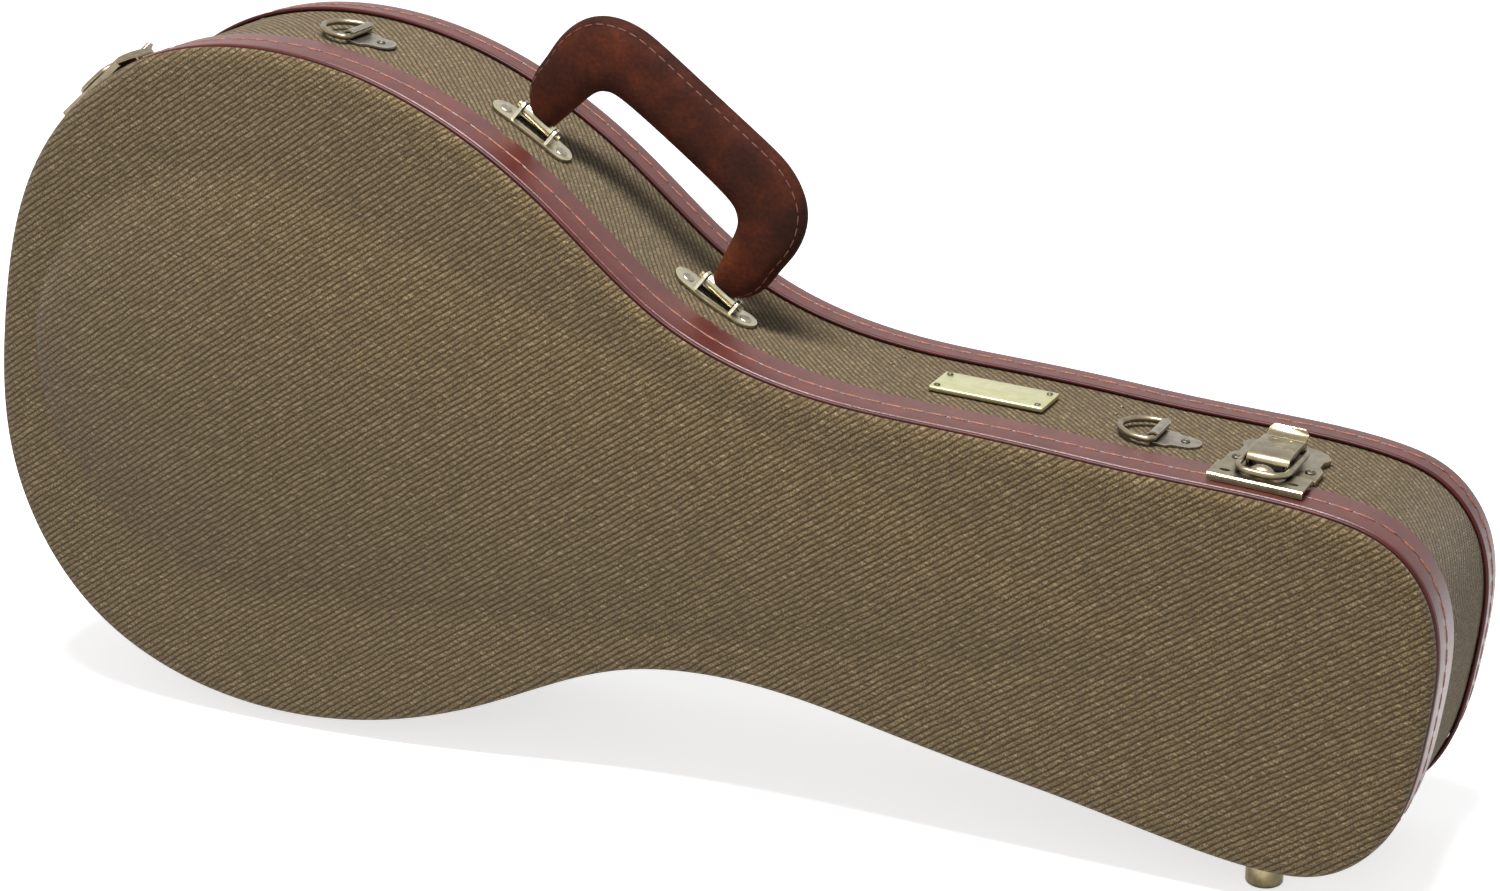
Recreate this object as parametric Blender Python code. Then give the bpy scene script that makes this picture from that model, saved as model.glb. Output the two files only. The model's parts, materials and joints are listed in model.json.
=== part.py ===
"""Mandolin case: arched, tweed covered, leather bound, standing on its side with the handle up.

The case is modelled in its own frame: x runs along the length from the body end to the head end,
y runs from the lid face to the back, z runs across, towards the handle. One empty tilts that frame
so that all four feet touch the floor. Everything is in metres.
"""

import math

import bmesh
import bpy
import numpy as np
from mathutils import Matrix, Vector

# Overall size, over the leather bands
LENGTH = 0.735
DEPTH = 0.1125
STAND_TILT = math.radians(8.4)

# Half outline from the body end to the head end, as x and half width
HALF_OUTLINE = (
    (0.0000, 0.0000), (0.0115, 0.0802), (0.0624, 0.1448), (0.1394, 0.1689), (0.2162, 0.1605),
    (0.2879, 0.1291), (0.3556, 0.0888), (0.4338, 0.0737), (0.5130, 0.0779), (0.5920, 0.0818),
    (0.6708, 0.0858), (0.7032, 0.0794), (0.7248, 0.0584), (0.7332, 0.0326), (0.7350, 0.0000),
)
HALF_STEPS = 42          # sides round half of the outline
STEP_LENGTH = 0.040      # a straight stretch gets one side for each of these
STEP_TURN = 0.160        # a bend gets one side for each of these angles

# Shells
GAP = 0.0003             # between pieces that touch
BAND = 0.0015            # leather thickness
SKIN = BAND + GAP        # the tweed lies this far inside the band's face
WALL = 0.0080
PANEL = 0.0050
PANEL_LAP = 0.0005       # a panel's rim reaches this far down inside the band
PARTING = 0.0277         # depth at which lid and body part
PARTING_GAP = 0.0006
SHOULDER = 0.0085        # rise of the lid face past the band
SHOULDER_WIDTH = 0.0125
FACE_EDGE = (            # inset and depth of the lid face, over the piping and round the shoulder
    (0.0018, 0.0018), (0.0031, 0.0014), (0.0031, -0.0010), (0.0014, -0.0021), (0.0005, -0.0036),
    (0.0010, -0.0057), (0.0032, -0.0074), (0.0068, -0.0082),
)
BACK_EDGE = ((0.0018, -0.0012), (0.0042, 0.0012), (0.0075, 0.0028))     # inset and rise
BACK_RISE = 0.0035
BACK_BAND_START = 0.0918
BACK_BAND_FRONT = ((0.0000, 0.0028), (0.0015, 0.0026))                  # inset and depth
BACK_BAND_REAR = ((0.0015, 0.0016), (0.0004, 0.0010), (0.0000, 0.0022))    # inset and height left
BACK_PIPING = 0.0011
BACK_PIPING_DEPTH = 0.0012       # past the start of the back band
LID_BAND_FRONT = ((0.0000, 0.0018), (0.0015, 0.0016))                   # inset and depth
PIPING = 0.0013
PIPING_INSET = 0.0012
PIPING_SIDES = 5
LID_SEAT = 0.0010        # the lid face's inside edge stands this far over its wall
TONGUE = 0.0025
TONGUE_EDGE = 0.0008
TONGUE_REACH = 0.0080
TONGUE_END = 0.0440

# Arch of the lid
ARCH_HEIGHT = 0.0140
ARCH_HALF_WIDTH = 0.108
ARCH_START = 0.022
ARCH_WIDEST = 0.150
ARCH_TIP = 0.635
ARCH_ACROSS = 8          # strips across the arched panel
LINING = 0.0020

# Padded bed and what stands in it
BED_TOP = 0.0450
BED_FLOOR = 0.0965
BED_WIDTH = 0.0340       # inset of the hollow's wall
BED_GAP = 0.0004
BED_EDGE = 0.0500        # depth at which the padding's round edge starts
BED_ROUND = (0.0030, 0.0462)     # inset and depth of that round edge
BED_CREST = 0.0220       # inset of the padding's top
CRADLE_X = (0.405, 0.440)
BOX_X = (0.470, 0.532)
FITTING_HALF = 0.0380    # half width of the cradle and the box
CRADLE_TOP = 0.0520
NOTCH_HALF = 0.0230
NOTCH_DEPTH = 0.0180
BOX_TOP = 0.0680
BOX_WALL = 0.0030
BOX_LID_INSET = (0.0010, 0.0020)         # at the hinge and at the sides
LID_BOARD = 0.0022
BOX_LID_LENGTH = 0.0580
PULL = ((0.0060, 0.0010), (0.0045, 0.0030), (0.0000, 0.00375), (-0.0040, 0.0025))
PULL_HALF = 0.0060
PULL_SHEET = 0.0010

# Handle
HANDLE_STATIONS = (0.2545, 0.3587)      # x of the two plates
HANDLE_DEPTH = 0.0490
HANDLE_AXIS_RISE = 0.0070
HANDLE_LEG = 0.0617      # from the handle's middle to the middle of a leg
HANDLE_TOP = 0.0565      # from the pins to the middle of the grip
HANDLE_BEND = 0.0245
GRIP_START = 0.0036
GRIP_LEG = (             # height over the pins, shift out from the pin, width, thickness
    (0.0036, 0.0000, 0.0150, 0.0090), (0.0098, 0.0012, 0.0216, 0.0112),
    (0.0175, 0.0024, 0.0270, 0.0128), (0.0270, 0.0019, 0.0274, 0.0138),
)
GRIP_BEND = (0.0282, 0.0312, 0.0348, 0.0370, 0.0358, 0.0344, 0.0336)   # widths round a bend
GRIP_THICKNESS = 0.0140
GRIP_SIDES = 12
PLATE_LENGTH = 0.0470
PLATE_WIDTH = 0.0140
PLATE_THICKNESS = 0.0015
PLATE_STEPS = (-0.0110, -0.0050, 0.0, 0.0050, 0.0110)       # along a plate's straight sides
PLATE_WINDOW = (0.0205, 0.0070)
EAR_INSIDE = 0.0094
EAR_THICKNESS = 0.0014
EAR_BASE = 0.0052
EAR_TOP = 0.0034
EAR_WAIST = 0.0016
EAR_ROUND = (0.3, math.pi - 0.6)         # start and sweep of an ear's round top
EAR_SEAT = 0.0011
HANDLE_PIN = 0.0015
HANDLE_PIN_HALF = 0.0130
STRAP_WIDTH = 0.0174
STRAP_THICKNESS = 0.0020
STRAP_BARREL = 0.0031

# D rings, each with a folded clip
RING_STATIONS = (0.1560, 0.5815)
RING_DEPTHS = (0.0500, 0.0495)
RING_WIRE = 0.0016
RING_HALF = 0.0134
RING_BAR = 0.0105        # half length of the straight bar
RING_CORNER = (-0.0035, -0.0012, 0.0126)
RING_REACH = 0.0182
RING_RISE = 0.0020
CLIP_HALF = 0.0098
CLIP_SHEET = 0.0011
CLIP_CLEARANCE = 0.0004
CLIP_RAMP = (0.0060, 0.0030)
CLIP_TAIL = 0.0198
CLIP_END = 0.0068        # radius of the tail's round end
CLIP_TAPER = ((0.0062, 0.0150), (0.0062, 0.0098), (0.0092, 0.0074))

# Draw latches
LATCH_STATIONS = (0.6377, 0.0360)
LATCH_HALF = 0.0215
CATCH_Y = (0.0062, 0.0243)
CATCH_TOP = 0.0036
CATCH_LOW = 0.0004
CATCH_CHAMFER = 0.0006
SHEET = 0.0014
HOOK_HALF = 0.0050
HOOK_SHEET = 0.0012
HOOK_PATH = (            # depth and height over the catch plate, from its root to its lip
    (0.0224, -0.0007), (0.0221, 0.0020), (0.0204, 0.0037), (0.0178, 0.0040), (0.0156, 0.0032),
    (0.0149, 0.0020),
)
BODY_PLATE_TOP = 0.0012
BODY_PLATE_SIDE = (      # inset from the latch's half width, and depth
    (0.0000, 0.0286), (0.0000, 0.0430), (0.0030, 0.0480), (0.0030, 0.0545), (0.0010, 0.0600),
    (0.0040, 0.0660), (0.0110, 0.0695),
)
LEVER_AXIS = (0.0290, 0.0056)
LEVER_NOSE = 0.0040
LEVER_HALF = 0.0095
LEVER_SHEET = 0.0012
LEVER_PIN = 0.0012
LEVER_TOP = ((0.0560, 0.0024), (0.0568, 0.0082), (0.0520, 0.0094), (0.0400, 0.0101),
             (0.0334, 0.0099))
LEVER_ROOM = ((0.0548, -0.0020), (0.0556, 0.0072), (0.0518, 0.0082), (0.0400, 0.0089),
              (0.0336, 0.0087))
LEVER_MOUTH = (0.0008, -0.0060)  # height over the axis and reach in front of it
LEVER_THROAT = (-0.0008, 0.0026)
LEVER_EAR_FOOT = (0.0008, 0.0055)        # from the lever's axis
LEVER_EAR = 0.0021
TAB_HALF = 0.0090
TAB_SHEET = 0.0014
TAB_PATH = ((0.0530, 0.0087), (0.0570, 0.0087), (0.0596, 0.0099), (0.0612, 0.0122))
BAIL_AXIS = (0.0520, 0.0052)
BAIL_WIRE = 0.0015
BAIL_FRONT = 0.0058
BAIL_ARM = (             # half width and depth, from the lever's side to the crossbar
    (0.0082, 0.0520), (0.0104, 0.0518), (0.0115, 0.0495), (0.0115, 0.0370), (0.0115, 0.0240),
    (0.0112, 0.0190), (0.0098, 0.0152), (0.0072, 0.0129), (0.0036, 0.0122),
)

# Nameplate, bare
NAMEPLATE_X = 0.4990
NAMEPLATE_DEPTH = 0.0570
NAMEPLATE = (0.0560, 0.0245, 0.0025)
NAMEPLATE_CORNER = 0.0008
NAMEPLATE_SEAT = 0.0006

# Hinges and feet on the lower side
HINGE_HALF = 0.0095
HINGE_RISE = 0.0026
HINGE_PIN = 0.0009
HINGE_BARREL = 0.0023
HINGE_LEAF = 0.0150
HINGE_SHEET = 0.0011
KNUCKLE_HALF = 0.0038
KNUCKLE_RAMP = 0.0006
KNUCKLE_CUT = (0.0028, 0.0060, 0.0050)   # from the pin to the leaf, past the pin, up and down
HINGE_PIN_END = 0.0006
HEAD_HINGE_SHIFT = 0.0060     # past the touching point, clear of the foot
FOOT_RADIUS = 0.0086
FOOT_SIDES = 16
FOOT_CHAMFER = 0.0009
FOOT_GAP = 0.0006
BULGE_FOOT_RISE = 0.0065
BULGE_FOOT_DEPTHS = (0.0530, 0.1005)
HEAD_FOOT_X = 0.6728
HEAD_FOOT_DEPTHS = (0.0170, 0.1005)

PAST = 0.02              # reach of a cutter past the piece it cuts


def clear_scene():
    for item in list(bpy.data.objects):
        bpy.data.objects.remove(item, do_unlink=True)


def material(name, colour, roughness, metallic=0.0):
    made = bpy.data.materials.new(name)
    made.use_nodes = True
    shader = made.node_tree.nodes["Principled BSDF"]
    shader.inputs["Base Color"].default_value = (*colour, 1.0)
    shader.inputs["Roughness"].default_value = roughness
    shader.inputs["Metallic"].default_value = metallic
    made.diffuse_color = (*colour, 1.0)
    return made


class Outline:
    """The closed outline of the case, as a periodic cubic spline through its named points."""

    FINE = 6000

    def __init__(self, half):
        upper = np.array(half)
        lower = upper[-2:0:-1] * (1.0, -1.0)
        knots = np.vstack([upper, lower])
        count = len(knots)
        step = np.linalg.norm(np.roll(knots, -1, 0) - knots, axis=1)
        before = np.roll(step, 1)
        system = np.zeros((count, count))
        right = np.zeros((count, 2))
        rise = (np.roll(knots, -1, 0) - knots) / step[:, None]
        for i in range(count):
            system[i, i - 1] += before[i]
            system[i, i] += 2.0 * (before[i] + step[i])
            system[i, (i + 1) % count] += step[i]
            right[i] = 6.0 * (rise[i] - rise[i - 1])
        bend = np.linalg.solve(system, right)
        fine = []
        for i in range(len(upper) - 1):
            t = np.linspace(0.0, step[i], self.FINE // (len(upper) - 1), endpoint=False)[:, None]
            j = (i + 1) % count
            slope = rise[i] - step[i] * (2.0 * bend[i] + bend[j]) / 6.0
            fine.append(knots[i] + slope * t + bend[i] * t ** 2 / 2.0
                        + (bend[j] - bend[i]) * t ** 3 / (6.0 * step[i]))
        self.points = np.vstack(fine + [upper[-1:]])
        along = np.gradient(self.points, axis=0)
        along[0] = (0.0, 1.0)
        along[-1] = (0.0, -1.0)
        self.tangents = along / np.linalg.norm(along, axis=1)[:, None]
        length = np.linalg.norm(np.diff(self.points, axis=0), axis=1)
        self.lengths = np.concatenate([[0.0], np.cumsum(length)])
        heading = np.unwrap(np.arctan2(self.tangents[:, 1], self.tangents[:, 0]))
        turn = np.abs(np.diff(heading))
        effort = np.concatenate([[0.0], np.cumsum(length / STEP_LENGTH + turn / STEP_TURN)])
        wanted = np.linspace(0.0, effort[-1], HALF_STEPS + 1)
        self.picked = np.interp(wanted, effort, self.lengths)

    def at(self, length):
        """Point, tangent and outward normal of the upper half at a length from the body end."""
        point = np.array([np.interp(length, self.lengths, self.points[:, k]) for k in (0, 1)])
        along = np.array([np.interp(length, self.lengths, self.tangents[:, k]) for k in (0, 1)])
        along /= np.linalg.norm(along)
        return point, along, np.array([-along[1], along[0]])

    def length_at(self, x):
        return float(np.interp(x, self.points[:, 0], self.lengths))

    def ring(self, inset):
        """Points of the whole outline moved inwards, the upper half first."""
        upper = []
        for length in self.picked:
            point, _, normal = self.at(length)
            upper.append(point - normal * inset)
        upper = np.array(upper)
        upper[0, 1] = upper[-1, 1] = 0.0
        lower = upper[-2:0:-1] * (1.0, -1.0)
        return np.vstack([upper, lower])


OUTLINE = Outline(HALF_OUTLINE)
SIDES = 2 * HALF_STEPS


def make(name, vertices, faces, finish, parent, smooth=None):
    """One closed mesh object in the case's frame, hung on a parent that may be a joint's axis."""
    mesh = bpy.data.meshes.new(name)
    mesh.from_pydata([tuple(map(float, v)) for v in vertices], [], faces)
    shape = bmesh.new()
    shape.from_mesh(mesh)
    bmesh.ops.remove_doubles(shape, verts=shape.verts, dist=1e-7)
    bmesh.ops.recalc_face_normals(shape, faces=shape.faces)
    shape.to_mesh(mesh)
    shape.free()
    item = bpy.data.objects.new(name, mesh)
    bpy.context.collection.objects.link(item)
    if finish is not None:
        mesh.materials.append(finish)
    if smooth is not None:
        mesh.shade_smooth()
        mesh.set_sharp_from_angle(angle=math.radians(smooth))
    if parent is not None:
        item.parent = parent
        case = bpy.data.objects["case_frame"]
        item.matrix_parent_inverse = parent.matrix_world.inverted() @ case.matrix_world
    return item


def combine(base, joined=(), cutters=()):
    """Unites shapes with a base and cuts others out of it."""
    for tool, operation in [(t, "UNION") for t in joined] + [(t, "DIFFERENCE") for t in cutters]:
        step = base.modifiers.new(operation.lower(), "BOOLEAN")
        step.operation = operation
        step.solver = "EXACT"
        step.object = tool
    bpy.context.view_layer.update()
    depsgraph = bpy.context.evaluated_depsgraph_get()
    result = bpy.data.meshes.new_from_object(base.evaluated_get(depsgraph))
    base.modifiers.clear()
    base.data = result
    for tool in (*joined, *cutters):
        bpy.data.objects.remove(tool, do_unlink=True)
    return base


def split_faces(item):
    """Triangles in place of faces that a bend has left uneven."""
    shape = bmesh.new()
    shape.from_mesh(item.data)
    bmesh.ops.triangulate(shape, faces=shape.faces)
    shape.to_mesh(item.data)
    shape.free()


def ring_sweep(name, profile, finish, parent, smooth=30):
    """A closed section of inset and depth, carried round the whole outline."""
    vertices = []
    for inset, depth in profile:
        vertices += [(x, depth, z) for x, z in OUTLINE.ring(inset)]
    faces = []
    rows = len(profile)
    for j in range(rows):
        k = (j + 1) % rows
        for i in range(SIDES):
            n = (i + 1) % SIDES
            faces.append((j * SIDES + i, j * SIDES + n, k * SIDES + n, k * SIDES + i))
    return make(name, vertices, faces, finish, parent, smooth)


def capped_sweep(name, profile, finish, parent, smooth=30):
    """An open section carried round the outline, with a flat cap inside its first and last ring."""
    vertices = []
    for inset, depth in profile:
        vertices += [(x, depth, z) for x, z in OUTLINE.ring(inset)]
    rows = len(profile)
    faces = [tuple(range(SIDES)), tuple((rows - 1) * SIDES + i for i in range(SIDES))]
    for j in range(rows - 1):
        for i in range(SIDES):
            n = (i + 1) % SIDES
            faces.append((j * SIDES + i, j * SIDES + n, (j + 1) * SIDES + n, (j + 1) * SIDES + i))
    return make(name, vertices, faces, finish, parent, smooth)


def arch(x, z):
    """Rise of the arch over the flat border of the lid face: a teardrop that tapers to the head."""
    if not ARCH_START < x < ARCH_TIP:
        return 0.0
    if x < ARCH_WIDEST:
        part = (ARCH_WIDEST - x) / (ARCH_WIDEST - ARCH_START)
        share = math.sqrt(1.0 - part * part)
    else:
        share = (1.0 - (x - ARCH_WIDEST) / (ARCH_TIP - ARCH_WIDEST)) ** 0.9
    across = z / (ARCH_HALF_WIDTH * share)
    if abs(across) >= 1.0:
        return 0.0
    return ARCH_HEIGHT * share ** 1.2 * (1.0 - across * across)


def arched_sweep(name, outside, inside, across, finish, parent):
    """A panel whose two skins end in arched sheets, inside the last ring of each section."""
    vertices = []
    faces = []

    def add_ring(inset, depth):
        start = len(vertices)
        vertices.extend((x, depth, z) for x, z in OUTLINE.ring(inset))
        return [start + i for i in range(SIDES)]

    def join(first, second):
        for i in range(SIDES):
            n = (i + 1) % SIDES
            faces.append((first[i], first[n], second[n], second[i]))

    def add_sheet(ring, depth):
        rows = [[ring[0]]]
        for i in range(1, HALF_STEPS):
            top = ring[i]
            bottom = ring[SIDES - i]
            row = [top]
            for k in range(1, across):
                spot = Vector(vertices[top]).lerp(Vector(vertices[bottom]), k / across)
                row.append(len(vertices))
                vertices.append((spot.x, depth - arch(spot.x, spot.z), spot.z))
            rows.append(row + [bottom])
        rows.append([ring[HALF_STEPS]])
        for row, other in zip(rows, rows[1:]):
            for k in range(across):
                corners = [row[min(k, len(row) - 1)], row[min(k + 1, len(row) - 1)],
                           other[min(k + 1, len(other) - 1)], other[min(k, len(other) - 1)]]
                unique = list(dict.fromkeys(corners))
                if len(unique) > 2:
                    faces.append(tuple(unique))

    rings = [[add_ring(*point) for point in section] for section in (outside, inside)]
    for section in rings:
        for first, second in zip(section, section[1:]):
            join(first, second)
    join(rings[0][0], rings[1][0])
    add_sheet(rings[0][-1], outside[-1][1])
    add_sheet(rings[1][-1], inside[-1][1])
    return make(name, vertices, faces, finish, parent, 30)


def slab(name, outline, low, high, finish, parent, place, smooth=None):
    """A flat outline of x and y, raised from low to high, in a local frame."""
    count = len(outline)
    vertices = [place @ Vector((x, y, z)) for z in (low, high) for x, y in outline]
    faces = [tuple(range(count)), tuple(range(count, 2 * count))]
    faces += [(i, (i + 1) % count, count + (i + 1) % count, count + i) for i in range(count)]
    return make(name, vertices, faces, finish, parent, smooth)


def bar(name, section, start, end, finish, parent, place, smooth=None):
    """A section of y and z carried from start to end along x, in a local frame."""
    count = len(section)
    vertices = [place @ Vector((x, y, z)) for x in (start, end) for y, z in section]
    faces = [tuple(range(count)), tuple(range(count, 2 * count))]
    faces += [(i, (i + 1) % count, count + (i + 1) % count, count + i) for i in range(count)]
    return make(name, vertices, faces, finish, parent, smooth)


def circle(centre, radius, sides, start=0.0, sweep=2.0 * math.pi, closed=True):
    """Points of a circle or an arc, in any two coordinates."""
    count = sides if closed else sides + 1
    return [(centre[0] + radius * math.cos(start + sweep * i / sides),
             centre[1] + radius * math.sin(start + sweep * i / sides)) for i in range(count)]


def bent_sheet(path, thickness):
    """The closed section of a sheet bent along a path."""
    line = [Vector(p) for p in path]
    sides = []
    for i, point in enumerate(line):
        before = (point - line[max(i - 1, 0)]).normalized()
        after = (line[min(i + 1, len(line) - 1)] - point).normalized()
        along = (before + after).normalized()
        square = Vector((-along.y, along.x))
        reach = 1.0 / max(0.5, square.dot(Vector((-after.y, after.x)) if i == 0
                                         else Vector((-before.y, before.x))))
        sides.append(square * (thickness / 2.0 * reach))
    left = [p + s for p, s in zip(line, sides)]
    right = [p - s for p, s in zip(line, sides)]
    return [tuple(p) for p in left + right[::-1]]


def tube(name, path, radius, sides, closed, normal, finish, parent, place):
    """Round wire along a path that lies in a plane with the given normal."""
    line = [Vector(p) for p in path]
    up = Vector(normal).normalized()
    count = len(line)
    vertices = []
    for i, point in enumerate(line):
        before = line[i - 1] if closed or i > 0 else point
        after = line[(i + 1) % count] if closed or i < count - 1 else point
        along = ((point - before).normalized() + (after - point).normalized()).normalized()
        side = along.cross(up).normalized()
        for k in range(sides):
            turn = 2.0 * math.pi * (k + 0.5) / sides
            vertices.append(place @ (point + side * (radius * math.cos(turn))
                                     + up * (radius * math.sin(turn))))
    faces = []
    for i in range(count if closed else count - 1):
        j = (i + 1) % count
        for k in range(sides):
            n = (k + 1) % sides
            faces.append((i * sides + k, i * sides + n, j * sides + n, j * sides + k))
    if not closed:
        faces.append(tuple(range(sides)))
        faces.append(tuple((count - 1) * sides + k for k in range(sides)))
    return make(name, vertices, faces, finish, parent, 40)


def local_frame(point, outward, depth):
    """Local frame on a wall: z outwards, y to the back, x along the wall."""
    z = Vector((outward[0], 0.0, outward[1])).normalized()
    y = Vector((0.0, 1.0, 0.0))
    x = y.cross(z)
    frame = Matrix((x, y, z)).transposed().to_4x4()
    frame.translation = Vector((point[0], depth, point[1]))
    return frame


def wall_frame(x, depth=0.0):
    point, _, normal = OUTLINE.at(OUTLINE.length_at(x))
    return local_frame(point, normal, depth)


def empty(name, frame, parent):
    """An empty on a joint's axis, which lies along its own x."""
    item = bpy.data.objects.new(name, None)
    item.empty_display_size = 0.02
    bpy.context.collection.objects.link(item)
    item.parent = parent
    item.matrix_world = parent.matrix_world @ frame
    bpy.context.view_layer.update()
    return item


def shells(case, lid, finish):
    """Walls, panels, leather bands, piping, tongue and linings."""
    inner = SKIN + WALL
    rear = DEPTH - PANEL - PANEL_LAP
    front = PANEL + PANEL_LAP
    ring_sweep("body_wall", [
        (SKIN, PARTING + PARTING_GAP), (inner, PARTING + PARTING_GAP),
        (inner, rear - GAP), (SKIN, rear - GAP)], finish["tweed"], case)
    back = DEPTH + BACK_RISE
    capped_sweep("back_panel", [
        (SKIN, rear), *[(inset, DEPTH + rise) for inset, rise in BACK_EDGE],
        (SHOULDER_WIDTH, back)], finish["tweed"], case)
    ring_sweep("back_band", [(inset, BACK_BAND_START + depth) for inset, depth in BACK_BAND_FRONT]
               + [(inset, DEPTH - left) for inset, left in BACK_BAND_REAR], finish["leather"], case)
    centre = (BAND - BACK_PIPING, BACK_BAND_START + BACK_PIPING_DEPTH)
    ring_sweep("back_piping", circle(centre, BACK_PIPING, PIPING_SIDES), finish["piping"], case, 80)
    tongue = inner + GAP
    ring_sweep("closing_tongue", [
        (tongue, PARTING - TONGUE_REACH + TONGUE_EDGE), (tongue + TONGUE_EDGE, PARTING - TONGUE_REACH),
        (tongue + TONGUE, PARTING - TONGUE_REACH), (tongue + TONGUE, TONGUE_END),
        (tongue, TONGUE_END)], finish["lining"], case)
    ring_sweep("lid_wall", [
        (SKIN, front + GAP), (inner, front + GAP), (inner, PARTING - GAP),
        (SKIN, PARTING - GAP)], finish["tweed"], lid)
    ring_sweep("lid_band", [*LID_BAND_FRONT, (BAND, PARTING - GAP), (0.0, PARTING - GAP)],
               finish["leather"], lid)
    ring_sweep("lid_piping", circle((PIPING_INSET, 0.0), PIPING, PIPING_SIDES),
               finish["piping"], lid, 80)
    arched_sweep("lid_top", [
        (SKIN, front), *FACE_EDGE, (SHOULDER_WIDTH, -SHOULDER)], [
        (inner - LID_SEAT, front), (SHOULDER_WIDTH, PANEL - SHOULDER)],
        ARCH_ACROSS, finish["tweed"], lid)
    ceiling = PANEL - SHOULDER + 2.0 * GAP
    arched_sweep("lid_lining", [(SHOULDER_WIDTH, ceiling)], [(SHOULDER_WIDTH, ceiling + LINING)],
                 ARCH_ACROSS, finish["plush"], lid)


def interior(case, box_lid, finish):
    """Padded bed, neck cradle and the accessory box with its hinged lid."""
    outer = SKIN + WALL + BED_GAP
    step, depth = BED_ROUND
    capped_sweep("padded_bed", [
        (outer, DEPTH - PANEL - 2.0 * PANEL_LAP), (outer, BED_EDGE), (outer + step, depth),
        (BED_CREST, BED_TOP), (BED_WIDTH - step, depth), (BED_WIDTH, BED_EDGE),
        (BED_WIDTH, BED_FLOOR)], finish["plush"], case)
    low = BED_FLOOR - GAP
    lay = Matrix.Identity(4)
    notch = circle((0.0, CRADLE_TOP), NOTCH_HALF, 10, 0.0, math.pi, closed=False)
    notch = [(z, CRADLE_TOP + (y - CRADLE_TOP) * NOTCH_DEPTH / NOTCH_HALF) for z, y in notch]
    cradle = [(FITTING_HALF, low), (FITTING_HALF, CRADLE_TOP)] + notch
    cradle += [(-FITTING_HALF, CRADLE_TOP), (-FITTING_HALF, low)]
    bar("neck_cradle", [(y, z) for z, y in cradle], *CRADLE_X, finish["plush"], case, lay, 40)
    half = FITTING_HALF
    start, end = BOX_X
    box = bar("accessory_box", [(low, -half), (low, half), (BOX_TOP, half), (BOX_TOP, -half)],
              start, end, finish["plush"], case, lay)
    hollow = half - BOX_WALL
    cutter = bar("box_hollow", [(low - BOX_WALL, -hollow), (low - BOX_WALL, hollow),
                                (BOX_TOP - PAST, hollow), (BOX_TOP - PAST, -hollow)],
                 start + BOX_WALL, end - BOX_WALL, None, case, lay)
    combine(box, cutters=[cutter])
    face = BOX_TOP - GAP
    behind, beside = BOX_LID_INSET
    edge = end - behind
    side = half - beside
    board = [(edge - BOX_LID_LENGTH, -side), (edge, -side), (edge, side),
             (edge - BOX_LID_LENGTH, side)]
    turned = Matrix(((1, 0, 0, 0), (0, 0, 1, 0), (0, 1, 0, 0), (0, 0, 0, 1)))
    slab("accessory_lid", board, face - LID_BOARD, face, finish["plush"], box_lid, turned)
    pull_x = edge - BOX_LID_LENGTH
    ribbon = bent_sheet([(pull_x + x, face - LID_BOARD - rise) for x, rise in PULL], PULL_SHEET)
    count = len(ribbon)
    vertices = [(x, y, z) for z in (-PULL_HALF, PULL_HALF) for x, y in ribbon]
    faces = [tuple(range(count)), tuple(range(count, 2 * count))]
    faces += [(i, (i + 1) % count, count + (i + 1) % count, count + i) for i in range(count)]
    make("accessory_pull", vertices, faces, finish["ribbon"], box_lid)


def handle_line():
    """The straight axis through both handle pins: a frame at its middle and the half length."""
    spots = []
    for x in HANDLE_STATIONS:
        point, _, normal = OUTLINE.at(OUTLINE.length_at(x))
        spots.append(Vector(point - normal * SKIN))
    along = (spots[1] - spots[0]).normalized()
    outward = Vector((-along.y, along.x))
    middle = (spots[0] + spots[1]) / 2.0 + outward * HANDLE_AXIS_RISE
    return local_frame(middle, outward, HANDLE_DEPTH), (spots[1] - spots[0]).length / 2.0


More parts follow.
